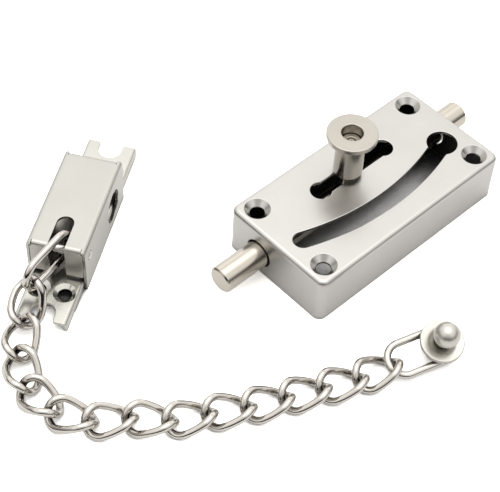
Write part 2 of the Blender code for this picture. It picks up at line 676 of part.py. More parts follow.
def main():
    clear_scene()
    brushed = finish("brushed_steel", (0.66, 0.65, 0.62), 0.34)
    keeper_steel = finish("keeper_brushed_steel", (0.64, 0.63, 0.60), 0.36)
    base_steel = finish("keeper_base_steel", (0.68, 0.67, 0.63), 0.30)
    bolt_steel = finish("bolt_polished_steel", (0.70, 0.66, 0.59), 0.16)
    knob_steel = finish("knob_turned_steel", (0.68, 0.66, 0.61), 0.20)
    screw_steel = finish("stud_steel", (0.55, 0.54, 0.52), 0.32)
    spring_steel = finish("spring_steel", (0.50, 0.50, 0.50), 0.30)
    pin_steel = finish("pin_steel", (0.60, 0.59, 0.57), 0.28)
    chain_steel = finish("chain_bright_steel", (0.72, 0.70, 0.66), 0.12)
    button_steel = finish("button_polished_steel", (0.72, 0.70, 0.66), 0.14)
    washer_steel = finish("washer_steel", (0.60, 0.59, 0.57), 0.30)

    make_housing(brushed)
    make_bolt(bolt_steel)
    make_knob(screw_steel, knob_steel, spring_steel)

    frame = bpy.data.objects.new("keeper_frame", None)
    bpy.context.scene.collection.objects.link(frame)
    frame.matrix_local = keeper_place()
    make_cover(keeper_steel, frame)
    make_base(base_steel, frame)
    make_pin(pin_steel, frame)
    first = make_keeper_link(chain_steel, frame)
    last = make_chain(chain_steel, first)
    button_place = make_end_link(chain_steel, last)
    make_button(button_steel, washer_steel, button_place)
    place_on_rim()


main()
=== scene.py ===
"""Looks of a door chain guard: the bolt housing, its knob, the keeper, the chain and its button.

Every length is in metres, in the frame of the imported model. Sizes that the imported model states, such as a
piece's box or a joint's place, are read from it. The rest are the fields of the classes below.
"""

import json
import logging
import math
from collections.abc import Callable, Iterable, Sequence
from dataclasses import dataclass, field
from enum import Enum

import bmesh
import bpy
from mathutils import Matrix, Vector, geometry


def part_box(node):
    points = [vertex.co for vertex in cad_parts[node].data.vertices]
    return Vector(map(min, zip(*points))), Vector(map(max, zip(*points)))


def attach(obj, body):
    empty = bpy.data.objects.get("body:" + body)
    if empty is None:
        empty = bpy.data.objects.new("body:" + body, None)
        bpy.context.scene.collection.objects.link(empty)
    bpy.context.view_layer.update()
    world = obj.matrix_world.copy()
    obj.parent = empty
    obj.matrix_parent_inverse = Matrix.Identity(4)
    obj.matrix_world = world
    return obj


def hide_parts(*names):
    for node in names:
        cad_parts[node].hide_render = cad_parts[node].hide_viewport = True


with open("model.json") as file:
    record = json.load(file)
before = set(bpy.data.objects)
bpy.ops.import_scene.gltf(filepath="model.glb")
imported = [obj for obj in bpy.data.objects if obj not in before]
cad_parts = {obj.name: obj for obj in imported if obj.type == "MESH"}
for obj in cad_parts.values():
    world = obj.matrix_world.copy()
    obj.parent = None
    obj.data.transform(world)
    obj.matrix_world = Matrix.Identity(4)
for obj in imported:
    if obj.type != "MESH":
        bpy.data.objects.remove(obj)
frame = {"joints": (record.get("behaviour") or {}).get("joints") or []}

LOG = logging.getLogger("door_chain_guard")
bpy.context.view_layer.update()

MM = 0.001
ROUND_STEPS = 96
HOLD = 0.06 * MM
# How far the painted shade in the recesses looks for closing surfaces, and the dark brown that it paints.
RECESS = 3.0 * MM
PAINTED_SHADE_BROWN = (0.035, 0.027, 0.02)
Point = tuple[float, float]
Loop = list[Point]
Ring = list[bmesh.types.BMVert]
Section = Sequence[Point]


# ---------------------------------------------------------------------------------------------------------
# Finishes
# ---------------------------------------------------------------------------------------------------------


class Grain(Enum):
    """The way the marks of a finish run."""

    BRUSHED = "along the piece"
    TURNED = "round the piece's axis"
    DRAWN = "with no single direction"


@dataclass(frozen=True)
class Finish:
    """A metal finish, with the marks that made it.

    Attributes:
        slot: The record's material slot.
        colour: Linear base colour.
        roughness: Middle roughness.
        grain: The way the marks run.
        marks: How much the marks change the roughness.
        relief: Strength of the marks' bump.
        cloud: How much slow patches change the roughness and the colour.
        mark_size: Width of one mark in metres.
        rim_shine: How much smoother the broken edges are.
        inside: Share of the colour that is left on the inner face, which is painted darker as shade.
        recess_shade: How much painted shade darkens the recesses, towards a dark brown.
    """

    slot: str
    colour: tuple[float, float, float]
    roughness: float
    grain: Grain
    marks: float = 0.08
    relief: float = 0.12
    cloud: float = 0.05
    mark_size: float = 0.12 * MM
    rim_shine: float = 0.1
    inside: float = 0.18
    recess_shade: float = 0.25

    def material(self, name: str, centre: Vector, turn: Matrix | None = None) -> bpy.types.Material:
        """Builds the node material for one piece.

        Args:
            name: The material's name.
            centre: A point on the piece's axis, from which its marks are measured.
            turn: The rotation from the piece's own axes to the model's.

        Returns:
            The new material.
        """
        return FinishNodes(self, name, centre, turn or Matrix.Identity(4)).build()


class Nodes:
    """Adds nodes to one tree and wires them."""

    def __init__(self, tree: bpy.types.NodeTree) -> None:
        """Takes the tree to work on."""
        self.tree = tree

    def node(self, kind: str, **settings: object) -> bpy.types.Node:
        """Adds a node and sets its properties."""
        made = self.tree.nodes.new(kind)
        for key, value in settings.items():
            setattr(made, key, value)
        return made

    def link(self, output: bpy.types.NodeSocket, target: bpy.types.NodeSocket) -> None:
        """Joins two sockets."""
        self.tree.links.new(output, target)

    def math(self, operation: str, *values: object) -> bpy.types.NodeSocket:
        """Adds a Math node whose inputs are sockets or numbers, and returns its output."""
        made = self.node("ShaderNodeMath", operation=operation)
        for socket, value in zip(made.inputs, values):
            if isinstance(value, bpy.types.NodeSocket):
                self.link(value, socket)
            else:
                socket.default_value = value
        return made.outputs[0]

    def ramp(
        self, value: bpy.types.NodeSocket, span: Point, result: Point, kind: str = "SMOOTHSTEP"
    ) -> bpy.types.NodeSocket:
        """Maps one range of values to another.

        Args:
            value: The value to map.
            span: Lowest and highest value that count.
            result: What they become.
            kind: How it runs in between.

        Returns:
            The mapped value.
        """
        made = self.node("ShaderNodeMapRange", interpolation_type=kind)
        for name, number in zip(("From Min", "From Max", "To Min", "To Max"), (*span, *result)):
            made.inputs[name].default_value = number
        self.link(value, made.inputs["Value"])
        return made.outputs[0]

    def openness(self, reach: float) -> bpy.types.NodeSocket:
        """Returns how open the space within a reach is: one in the open, nought in a closed corner."""
        made = self.node("ShaderNodeAmbientOcclusion")
        made.inputs["Distance"].default_value = reach
        return made.outputs["AO"]


class FinishNodes(Nodes):
    """Wires the node tree of one finish on one piece."""

    def __init__(self, finish: Finish, name: str, centre: Vector, turn: Matrix) -> None:
        """Starts an empty tree.

        Args:
            finish: The finish to build.
            name: The material's name.
            centre: A point on the piece's axis.
            turn: The rotation from the piece's own axes to the model's.
        """
        self.finish = finish
        self.centre = centre
        self.turn = turn
        self.material = bpy.data.materials.new(name)
        self.material.use_nodes = True
        super().__init__(self.material.node_tree)
        self.shader = self.tree.nodes["Principled BSDF"]

    def noise(self, vector: bpy.types.NodeSocket, scale: float, detail: float) -> bpy.types.NodeSocket:
        """Adds a Noise texture and returns its value."""
        made = self.node("ShaderNodeTexNoise", noise_dimensions="3D")
        made.inputs["Scale"].default_value = scale
        made.inputs["Detail"].default_value = detail
        made.inputs["Roughness"].default_value = 0.6
        self.link(vector, made.inputs["Vector"])
        return made.outputs[0]

    def local(self) -> bpy.types.NodeSocket:
        """Returns the piece's own coordinates: from its centre, along its own axes."""
        place = self.node("ShaderNodeTexCoord").outputs["Object"]
        shift = self.node("ShaderNodeVectorMath", operation="SUBTRACT")
        self.link(place, shift.inputs[0])
        shift.inputs[1].default_value = self.centre
        turned = self.node("ShaderNodeMapping", vector_type="POINT")
        turned.inputs["Rotation"].default_value = self.turn.inverted().to_euler()
        self.link(shift.outputs[0], turned.inputs["Vector"])
        return turned.outputs[0]

    def mark_space(self, local: bpy.types.NodeSocket) -> bpy.types.NodeSocket:
        """Stretches the coordinates along the grain.

        Args:
            local: The piece's own coordinates.

        Returns:
            Coordinates in which a mark is one unit across.
        """
        across = 1.0 / self.finish.mark_size
        if self.finish.grain is Grain.TURNED:
            parts = self.node("ShaderNodeSeparateXYZ")
            self.link(local, parts.inputs[0])
            squares = [self.math("MULTIPLY", parts.outputs[i], parts.outputs[i]) for i in (0, 1)]
            radius = self.math("SQRT", self.math("ADD", *squares))
            joined = self.node("ShaderNodeCombineXYZ")
            self.link(self.math("MULTIPLY", radius, across), joined.inputs[0])
            self.link(self.math("MULTIPLY", parts.outputs[2], across), joined.inputs[1])
            return joined.outputs[0]
        stretched = self.node("ShaderNodeVectorMath", operation="MULTIPLY")
        self.link(local, stretched.inputs[0])
        along = across / 120 if self.finish.grain is Grain.BRUSHED else across
        stretched.inputs[1].default_value = (along, across, across)
        return stretched.outputs[0]

    def build(self) -> bpy.types.Material:
        """Wires colour, roughness and bump.

        Returns:
            The material.
        """
        local = self.local()
        marks = self.noise(self.mark_space(local), 1.0, 2.0)
        cloud = self.noise(local, 70.0, 3.0)
        rim = self.node("ShaderNodeAttribute", attribute_name="rim").outputs["Fac"]
        self.shader.inputs["Metallic"].default_value = 1.0
        self.wire_colour(cloud, marks)
        self.wire_roughness(cloud, marks, rim)
        bump = self.node("ShaderNodeBump")
        bump.inputs["Strength"].default_value = self.finish.relief
        bump.inputs["Distance"].default_value = 0.02 * MM
        self.link(marks, bump.inputs["Height"])
        self.link(bump.outputs[0], self.shader.inputs["Normal"])
        return self.material

    def wire_colour(self, cloud: bpy.types.NodeSocket, marks: bpy.types.NodeSocket) -> None:
        """Lets the colour drift a little, and paints shade: darker on the inner face, and dark brown in the
        recesses.

        Args:
            cloud: The slow patches.
            marks: The marks of the grain.
        """
        ramp = self.node("ShaderNodeValToRGB")
        shade = 1.0 - 1.2 * self.finish.cloud
        ramp.color_ramp.elements[0].position = 0.3
        ramp.color_ramp.elements[0].color = (*(c * shade for c in self.finish.colour), 1.0)
        ramp.color_ramp.elements[1].position = 0.7
        ramp.color_ramp.elements[1].color = (*self.finish.colour, 1.0)
        mixed = self.math("ADD", self.math("MULTIPLY", cloud, 0.7), self.math("MULTIPLY", marks, 0.3))
        self.link(mixed, ramp.inputs[0])
        # Painted shade: the inner face keeps only the finish's inside share of the colour.
        inner_face_shade = self.node("ShaderNodeMix", data_type="RGBA")
        inner = self.node("ShaderNodeAttribute", attribute_name="inner")
        self.link(inner.outputs["Fac"], inner_face_shade.inputs["Factor"])
        self.link(ramp.outputs[0], inner_face_shade.inputs["A"])
        inner_face_shade.inputs["B"].default_value = (*(c * self.finish.inside for c in self.finish.colour), 1.0)
        # Painted shade: where the space within a few millimetres is closed, the colour turns towards dark
        # brown.
        recess = self.ramp(self.openness(RECESS), (0.2, 0.95), (self.finish.recess_shade, 0.0))
        dark = self.node("ShaderNodeMix", data_type="RGBA")
        self.link(recess, dark.inputs["Factor"])
        self.link(inner_face_shade.outputs["Result"], dark.inputs["A"])
        dark.inputs["B"].default_value = (*PAINTED_SHADE_BROWN, 1.0)
        self.link(dark.outputs["Result"], self.shader.inputs["Base Color"])

    def wire_roughness(
        self, cloud: bpy.types.NodeSocket, marks: bpy.types.NodeSocket, rim: bpy.types.NodeSocket
    ) -> None:
        """Lets the roughness follow the marks and the patches, and smooths the broken edges."""
        finish = self.finish
        base = finish.roughness - 0.5 * (finish.marks + finish.cloud)
        rough = self.math("ADD", self.math("MULTIPLY", marks, finish.marks), base)
        rough = self.math("ADD", rough, self.math("MULTIPLY", cloud, finish.cloud))
        rough = self.math("SUBTRACT", rough, self.math("MULTIPLY", rim, finish.rim_shine))
        rough = self.math("MAXIMUM", rough, 0.04)
        self.link(rough, self.shader.inputs["Roughness"])


SATIN = Finish("housing_steel", (0.545, 0.53, 0.51), 0.30, Grain.BRUSHED, relief=0.4, mark_size=0.12 * MM)
KEEPER_SATIN = Finish(
    "keeper_steel", (0.505, 0.495, 0.465), 0.32, Grain.BRUSHED, relief=0.4, mark_size=0.12 * MM
)
BASE_SATIN = Finish("base_steel", (0.58, 0.57, 0.53), 0.28, Grain.BRUSHED, relief=0.2, mark_size=0.10 * MM)
ROD_POLISH = Finish(
    "bolt_steel", (0.57, 0.53, 0.465), 0.2, Grain.TURNED, marks=0.06, relief=0.1, rim_shine=0.04
)
KNOB_POLISH = Finish(
    "knob_steel", (0.50, 0.475, 0.43), 0.24, Grain.TURNED, marks=0.1, relief=0.15, rim_shine=0.05
)
STUD_TURNED = Finish("stud_steel", (0.5, 0.46, 0.4), 0.3, Grain.TURNED)
SPRING_WIRE = Finish("spring_steel", (0.4, 0.38, 0.35), 0.3, Grain.DRAWN)
PIN_TURNED = Finish("pin_steel", (0.62, 0.61, 0.59), 0.22, Grain.TURNED)
CHAIN_NICKEL = Finish(
    "chain_steel",
    (0.60, 0.57, 0.53),
    0.09,
    Grain.DRAWN,
    marks=0.05,
    relief=0.06,
    mark_size=0.35 * MM,
    # Strong painted shade in the chain's recesses.
    recess_shade=0.75,
)
BUTTON_POLISH = Finish(
    "button_steel", (0.58, 0.565, 0.52), 0.34, Grain.TURNED, marks=0.08, relief=0.1, rim_shine=0.04
)
WASHER_SATIN = Finish("washer_steel", (0.52, 0.51, 0.48), 0.3, Grain.TURNED)


# ---------------------------------------------------------------------------------------------------------
# Outlines and sections
# ---------------------------------------------------------------------------------------------------------


def arc(centre: Point, radius: float, start: float, end: float, steps: int) -> Loop:
    """Returns points on a circle from one angle to another, in degrees, both ends included."""
    turns = [math.radians(start + (end - start) * i / steps) for i in range(steps + 1)]
    return [(centre[0] + radius * math.cos(t), centre[1] + radius * math.sin(t)) for t in turns]


def circle(centre: Point, radius: float, steps: int = 64) -> Loop:
    """Returns a hole's loop: clockwise, so that the sheet is on its left."""
    return arc(centre, radius, 360.0, 0.0, steps)[:-1]


def inset(loop: Loop, distance: float) -> Loop:
    """Moves a closed loop to its left, with mitred corners.

    Args:
        loop: Points in order, with the material on the left.
        distance: How far to move it. A negative distance moves it off the material.

    Returns:
        As many points as the loop has.
    """
    moved = []
    for i, here in enumerate(loop):
        before = Vector(loop[i - 1])
        after = Vector(loop[(i + 1) % len(loop)])
        point = Vector(here)
        first = (point - before).normalized()
        second = (after - point).normalized()
        normal = Vector((-first.y - second.y, first.x + second.x))
        normal.normalize()
        stretch = max(0.4, normal.dot(Vector((-first.y, first.x))))
        moved.append(tuple(point + normal * (distance / stretch)))
    return moved


def round_corners(points: Sequence[Point], radii: Sequence[float], steps: int = 6) -> Loop:
    """Rounds the corners of a closed outline.

    Args:
        points: The corners in order.
        radii: One radius for each corner, or nothing to round where it is zero.
        steps: Segments in each round.

    Returns:
        The rounded outline.
    """
    rounded: Loop = []
    for i, (here, radius) in enumerate(zip(points, radii)):
        if radius <= 0:
            rounded.append(here)
            continue
        point = Vector(here)
        before = (Vector(points[i - 1]) - point).normalized()
        after = (Vector(points[(i + 1) % len(points)]) - point).normalized()
        half = before.angle(after) / 2
        reach = radius / math.tan(half)
        centre = point + (before + after).normalized() * (radius / math.sin(half))
        start = point + before * reach - centre
        end = point + after * reach - centre
        sweep = start.angle_signed(end)
        rounded += [tuple(centre + Matrix.Rotation(-sweep * k / steps, 2) @ start) for k in range(steps + 1)]
    return rounded


def soft_profile(points: Sequence[Point], radius: float, steps: int = 4) -> Loop:
    """Rounds the inner corners of an open section, and holds the straight runs beside each round.

    Args:
        points: Section points in order.
        radius: Radius of every round. It shrinks where a run is short.
        steps: Segments in each round.

    Returns:
        The rounded section.
    """
    made: Loop = [points[0]]
    for before, here, after in zip(points, points[1:], points[2:]):
        a, b, c = Vector(before), Vector(here), Vector(after)
        into = a - b
        out = c - b
        corner = into.angle(out)
        if corner > math.radians(168):
            made.append(here)
            continue
        half = corner / 2
        reach = min(radius / math.tan(half), 0.42 * into.length, 0.42 * out.length)
        size = reach * math.tan(half)
        into.normalize()
        out.normalize()
        centre = b + (into + out).normalized() * (size / math.sin(half))
        start = b + into * reach - centre
        end = b + out * reach - centre
        sweep = start.angle_signed(end)
        hold = min(HOLD, reach * 0.3)
        made.append(tuple(b + into * (reach + hold)))
        made += [tuple(centre + Matrix.Rotation(-sweep * k / steps, 2) @ start) for k in range(steps + 1)]
        made.append(tuple(b + out * (reach + hold)))
    made.append(points[-1])
    return made


def plain_rim(thickness: float, top: float, bottom: float, steps: int = 3) -> Loop:
    """Returns a cut edge's section, as (distance into the sheet, height) from the outer face inwards.

    Args:
        thickness: The sheet's thickness.
        top: Radius of the outer edge.
        bottom: Radius of the inner edge.
        steps: Segments in each round.

    Returns:
        The section, with its flat ends held.
    """
    section = [(top + HOLD, 0.0)]
    for i in range(steps + 1):
        turn = math.pi / 2 * i / steps
        section.append((top * (1 - math.sin(turn)), -top * (1 - math.cos(turn))))
    for i in range(steps + 1):
        turn = math.pi / 2 * i / steps
        section.append((bottom * (1 - math.cos(turn)), -thickness + bottom * (1 - math.sin(turn))))
    section.append((bottom + HOLD, -thickness))
    return section


# ---------------------------------------------------------------------------------------------------------
# Mesh helpers
# ---------------------------------------------------------------------------------------------------------


def inside(point: Point, loops: Iterable[Loop]) -> bool:
    """Tells whether a point is inside an outline with holes, by the even and odd rule."""
    x, y = point
    crossed = False
    for loop in loops:
        for (ax, ay), (bx, by) in zip(loop, loop[1:] + loop[:1]):
            if (ay > y) != (by > y) and x < (bx - ax) * (y - ay) / (by - ay) + ax:
                crossed = not crossed
    return crossed


class SheetMesh:
    """A mesh built from flat regions and from strips that run round their rims."""

    def __init__(self) -> None:
        """Starts an empty mesh."""
        self.bm = bmesh.new()
        self.rim = self.bm.verts.layers.float.new("rim")
        self.inner = self.bm.verts.layers.float.new("inner")

    def ring(self, points: Iterable[Vector], rim: float = 0.0, inner: float = 0.0) -> Ring:
        """Adds a ring of points, marked with how much of a worked edge and of the inner face it is."""
        made = []
        for point in points:
            vert = self.bm.verts.new(point)
            vert[self.rim] = rim
            vert[self.inner] = inner
            made.append(vert)
        return made

    def strip(self, first: Ring, second: Ring, skip: Callable[[Vector], bool] | None = None) -> None:
        """Joins two closed rings with quads.

        Args:
            first: One ring.
            second: The other, with as many points.
            skip: Tells from a quad's middle whether to leave it out.
        """
        count = len(first)
        for i in range(count):
            corners = [first[i], first[(i + 1) % count], second[(i + 1) % count], second[i]]
            if skip and skip(sum((v.co for v in corners), Vector()) / 4):
                continue
            self.bm.faces.new(corners)

    def edge(self, places: Sequence[Sequence[Vector]]) -> list[Ring]:
        """Adds the rings of a cut edge, from the outer face to the inner, and joins them.

        Args:
            places: The points of each ring.

        Returns:
            The rings.
        """
        last = len(places) - 1
        rings = [
            self.ring(points, float(0 < i < last), float(i >= last - 1)) for i, points in enumerate(places)
        ]
        for first, second in zip(rings, rings[1:]):
            self.strip(first, second)
        return rings

    def fill(self, rings: Sequence[Ring], flat: Callable[[Vector], Point]) -> None:
        """Fills the flat region between rings.

        Args:
            rings: The outer ring and those of the holes.
            flat: Gives a point's two coordinates in the region's plane.
        """
        loops = [[flat(v.co) for v in ring] for ring in rings]
        verts = [v for ring in rings for v in ring]
        edges = []
        start = 0
        for ring in rings:
            edges += [(start + i, start + (i + 1) % len(ring)) for i in range(len(ring))]
            start += len(ring)
        scaled = [Vector((x / MM, y / MM)) for loop in loops for x, y in loop]
        made = geometry.delaunay_2d_cdt(scaled, edges, [], 0, 1e-7)
        points, faces, sources = made[0], made[2], made[3]
        for face in faces:
            middle = sum((points[i] for i in face), Vector((0, 0))) / 3
            if inside((middle.x * MM, middle.y * MM), loops):
                self.bm.faces.new([verts[sources[i][0]] for i in face])

    def finish(self, name: str, sharp: float = 40.0) -> bpy.types.Object:
        """Closes the mesh with its faces outwards and makes it an object.

        Args:
            name: The object's name.
            sharp: Edges over this angle in degrees stay sharp.

        Returns:
            The object, in the scene.
        """
        bmesh.ops.recalc_face_normals(self.bm, faces=self.bm.faces)
        mesh = bpy.data.meshes.new(name)
        self.bm.to_mesh(mesh)
        self.bm.free()
        mesh.shade_smooth()
        mesh.set_sharp_from_angle(angle=math.radians(sharp))
        return in_scene(name, mesh)


def in_scene(name: str, mesh: bpy.types.Mesh) -> bpy.types.Object:
    """Adds a mesh to the scene as an object at the origin."""
    made = bpy.data.objects.new(name, mesh)
    bpy.context.scene.collection.objects.link(made)
    return made


def turned(name: str, profile: Section, place: Matrix, closed: bool = False) -> bpy.types.Object:
    """Spins a section round its own Z axis.

    Args:
        name: The object's name.
        profile: Points of (radius, height). An open section starts and ends on the axis.
        place: Puts the spun shape in the model.
        closed: Whether the section joins its own start, as on a tube.

    Returns:
        The object, with its place in its mesh.
    """
    sheet = SheetMesh()
    rings: list[Ring] = []
    poles: list[bmesh.types.BMVert] = []
    for radius, height in profile:
        if radius < 1e-9:
            poles.append(sheet.bm.verts.new(place @ Vector((0, 0, height))))
            continue
        turns = [2 * math.pi * i / ROUND_STEPS for i in range(ROUND_STEPS)]
        points = [Vector((radius * math.cos(t), radius * math.sin(t), height)) for t in turns]
        rings.append(sheet.ring(place @ point for point in points))
    pairs = list(zip(rings, rings[1:]))
    if closed:
        pairs.append((rings[-1], rings[0]))
    for first, second in pairs:
        sheet.strip(first, second)
    for pole, ring in zip(poles, (rings[0], rings[-1])):
        for first, second in zip(ring, ring[1:] + ring[:1]):
            sheet.bm.faces.new((pole, first, second))
    return sheet.finish(name)


@dataclass
class Piece:
    """A finished piece and what it stands for.

    Attributes:
        obj: The object.
        body: The body that it rides on.
        node: The node that it replaces.
        finish: Its finish.
    """

    obj: bpy.types.Object
    body: str
    node: str
    finish: Finish

    def dress(self, centre: Vector, turn: Matrix | None = None) -> "Piece":
        """Gives the piece its material and ties it to its body.

        Args:
            centre: A point on its axis.
            turn: The rotation from its own axes to the model's.

        Returns:
            The piece itself.
        """
        material = self.finish.material(f"{self.obj.name}_{self.finish.slot}", centre, turn)
        self.obj.data.materials.clear()
        self.obj.data.materials.append(material)
        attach(self.obj, self.body)
        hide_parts(self.node)
        return self


def joint(name: str) -> dict:
    """Returns the record of one joint."""
    return next(j for j in frame["joints"] if j["name"] == name)


# ---------------------------------------------------------------------------------------------------------
# Bolt housing
# ---------------------------------------------------------------------------------------------------------


@dataclass
class BoltHousing:
    """The pressed shell with its dimples, slots and bolt holes."""

    wall: float = 1.0 * MM
    corner: float = 3.0 * MM
    edge: float = 1.55 * MM
    screw_inset: Point = (6.2 * MM, 6.0 * MM)
    dimple_radius: float = 4.15 * MM
    dimple_hole: float = 2.3 * MM
    dimple_depth: float = 1.8 * MM
    slot_width: float = 5.0 * MM
    slot_reach: float = 13.8 * MM
    notch_radius: float = 3.4 * MM
    arc_radius: float = 89.7 * MM
    arc_low: float = -9.4 * MM
    arc_width: float = 6.2 * MM
    arc_start: float = -31.9 * MM
    keyhole_x: float = 29.9 * MM
    keyhole_radius: float = 4.95 * MM
    bolt_clearance: float = 0.5 * MM
    cut_edge: float = 0.22 * MM
    inner_edge: float = 0.1 * MM
    dimple_flat: float = 0.22 * MM
    dimple_inner_flat: float = 0.15 * MM
    dimple_round: float = 0.4 * MM
    foot: float = 0.15 * MM
    low: Vector = field(default_factory=lambda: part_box("bolt_housing")[0])
    high: Vector = field(default_factory=lambda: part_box("bolt_housing")[1])

    @property
    def centre(self) -> Vector:
        """The middle of the shell's back."""
        middle = (self.low + self.high) / 2
        return Vector((middle.x, middle.y, self.low.z))

    @property
    def bolt_line(self) -> Vector:
        """A point on the bolt's axis."""
        low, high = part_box("bolt_rod")
        return (low + high) / 2

    def outline(self) -> Loop:
        """Returns the shell's outer outline, counterclockwise, about its own centre."""
        half = (self.high - self.low) / 2
        corners = [(half.x, half.y), (-half.x, half.y), (-half.x, -half.y), (half.x, -half.y)]
        return round_corners(corners, [self.corner] * 4, 10)

    def arc_point(self, x: float) -> Point:
        """Returns the point on the arc slot's middle line with this X."""
        angle = -math.pi / 2 + math.asin(x / self.arc_radius)
        return (x, self.arc_low + self.arc_radius * (1 + math.sin(angle)))

    def arc_slot(self) -> Loop:
        """Returns the arc slot with its keyhole, clockwise."""
        centre = (0.0, self.arc_low + self.arc_radius)
        half = self.arc_width / 2
        start = -90 + math.degrees(math.asin(self.arc_start / self.arc_radius))
        key = self.arc_point(self.keyhole_x)
        key_angle = -90 + math.degrees(math.asin(self.keyhole_x / self.arc_radius))
        throat = math.degrees(math.asin(half / self.keyhole_radius))
        reach = math.degrees(math.sqrt(self.keyhole_radius**2 - half**2) / self.arc_radius)
        tangent = key_angle + 90
        round_start = arc(self.arc_point(self.arc_start), half, start + 180, start + 360, 16)
        lower = arc(centre, self.arc_radius + half, start, key_angle - reach, 72)
        keyhole = arc(key, self.keyhole_radius, tangent + 180 + throat, tangent + 540 - throat, 56)
        upper = arc(centre, self.arc_radius - half, key_angle - reach, start, 72)
        loop = round_start + lower[1:-1] + keyhole + upper[1:-1]
        return loop[::-1]

    def bolt_slot(self) -> Loop:
        """Returns the straight slot with its two round notches, clockwise."""
        y = self.bolt_line.y - self.centre.y
        throat = math.degrees(math.asin(self.slot_width / 2 / self.notch_radius))
        right = arc((self.slot_reach, y), self.notch_radius, -180 + throat, 180 - throat, 36)
        left = arc((-self.slot_reach, y), self.notch_radius, throat, 360 - throat, 36)
        return (right + left)[::-1]

    def dimple(self) -> Loop:
        """Returns a screw dimple's section, from the outer face down the hole and back inside."""
        drop = self.dimple_depth
        reach = self.dimple_radius - self.dimple_hole
        lip = 0.6 * self.wall
        shape = [
            (reach + self.dimple_flat, 0.0),
            (reach, 0.0),
            (0.0, -drop),
            (0.0, -drop - lip),
            (0.5 * lip, -drop - lip),
            (reach, -self.wall),
            (reach + self.dimple_inner_flat, -self.wall),
        ]
        return soft_profile(shape, self.dimple_round, 6)

    def build(self) -> Piece:
        """Builds the shell.

        Returns:
            The dressed shell.
        """
        centre = self.centre
        height = self.high.z - self.low.z
        sheet = SheetMesh()

        def lift(loop: Loop, z: float) -> list[Vector]:
            """Puts an outline at a height below the top."""
            return [centre + Vector((x, y, height + z)) for x, y in loop]

        half = (self.high - self.low) / 2
        screw_x, screw_y = half.x - self.screw_inset[0], half.y - self.screw_inset[1]
        screws = [(x, y) for x in (-screw_x, screw_x) for y in (-screw_y, screw_y)]
        cut = plain_rim(self.wall, self.cut_edge, self.inner_edge, 4)
        holes = [(self.arc_slot(), cut), (self.bolt_slot(), cut)]
        holes += [(circle(screw, self.dimple_hole, 64), self.dimple()) for screw in screws]
        outer_rings: list[Ring] = []
        inner_rings: list[Ring] = []
        for loop, section in holes:
            rings = sheet.edge([lift(inset(loop, into), z) for into, z in section])
            outer_rings.append(rings[0])
            inner_rings.append(rings[-1])
        walls = self.wall_rings(sheet, lift, height)
        sheet.fill([walls[0], *outer_rings], lambda p: (p.x, p.y))
        sheet.fill([walls[-1], *inner_rings], lambda p: (p.x, p.y))
        made = sheet.finish("bolt_housing_shell", 50.0)
        return Piece(made, "housing", "bolt_housing", SATIN).dress(centre)

    def wall_section(self, height: float) -> tuple[Loop, int, int]:
        """Draws the section of the rounded top edge, the side wall and the back rim.

        Args:
            height: The shell's height.

        Returns:
            The section as (distance into the shell, height below the top), and the numbers of the points
            that end the flat part of the outer and of the inner wall.
        """
        rounds = 9
        inner = self.edge - self.wall
        section: Loop = [(self.edge + HOLD, 0.0)]
        for i in range(rounds + 1):
            turn = math.pi / 2 * i / rounds
            section.append((self.edge * (1 - math.sin(turn)), -self.edge * (1 - math.cos(turn))))
        hold = HOLD * 2
        section.append((0.0, -self.edge - hold))
        outer_wall = len(section)
        foot = self.foot
        broken = foot * 0.3
        section += [(0.0, foot + hold - height), (0.0, foot - height), (broken, broken - height)]
        section += [(foot, -height), (self.wall - foot, -height), (self.wall - broken, broken - height)]
        section += [(self.wall, foot - height), (self.wall, foot + hold - height)]
        inner_wall = len(section)
        section.append((self.wall, -self.edge - hold))
        for i in range(rounds + 1):
            turn = math.pi / 2 * i / rounds
            section.append((self.wall + inner * (1 - math.cos(turn)), -self.edge + inner * math.sin(turn)))
        section.append((self.edge + HOLD, -self.wall))
        return section, outer_wall, inner_wall

    def wall_rings(
        self, sheet: SheetMesh, lift: Callable[[Loop, float], list[Vector]], height: float
    ) -> list[Ring]:
        """Builds the rounded top edge, the side walls and the back rim, with the bolt's holes.

        Args:
            sheet: The mesh to add to.
            lift: Puts an outline at a height below the top.
            height: The shell's height.

        Returns:
            The rings, from the top face's rim to the inner face's.
        """
        section, outer_wall, inner_wall = self.wall_section(height)
        outline = self.outline()
        rings = [
            sheet.ring(lift(inset(outline, into), z), inner=float(i >= inner_wall - 1))
            for i, (into, z) in enumerate(section)
        ]
        middle = self.centre
        reach = (self.high.x - self.low.x) / 2
        flat_half = (self.high.y - self.low.y) / 2 - self.corner

        def end_wall(point: Vector) -> bool:
            """Tells whether a point is on the flat of an end wall, where the bolt's hole goes."""
            local = point - middle
            return abs(local.x) > reach - self.wall * 1.2 and abs(local.y) < flat_half * 0.5

        for index, (first, second) in enumerate(zip(rings, rings[1:]), start=1):
            on_wall = index in (outer_wall, inner_wall)
            sheet.strip(first, second, end_wall if on_wall else None)
        outer = rings[outer_wall - 1 : outer_wall + 1]
        inner = rings[inner_wall - 1 : inner_wall + 1]
        for side in (-1, 1):
            self.bolt_hole(sheet, side, outer, inner)
        return rings

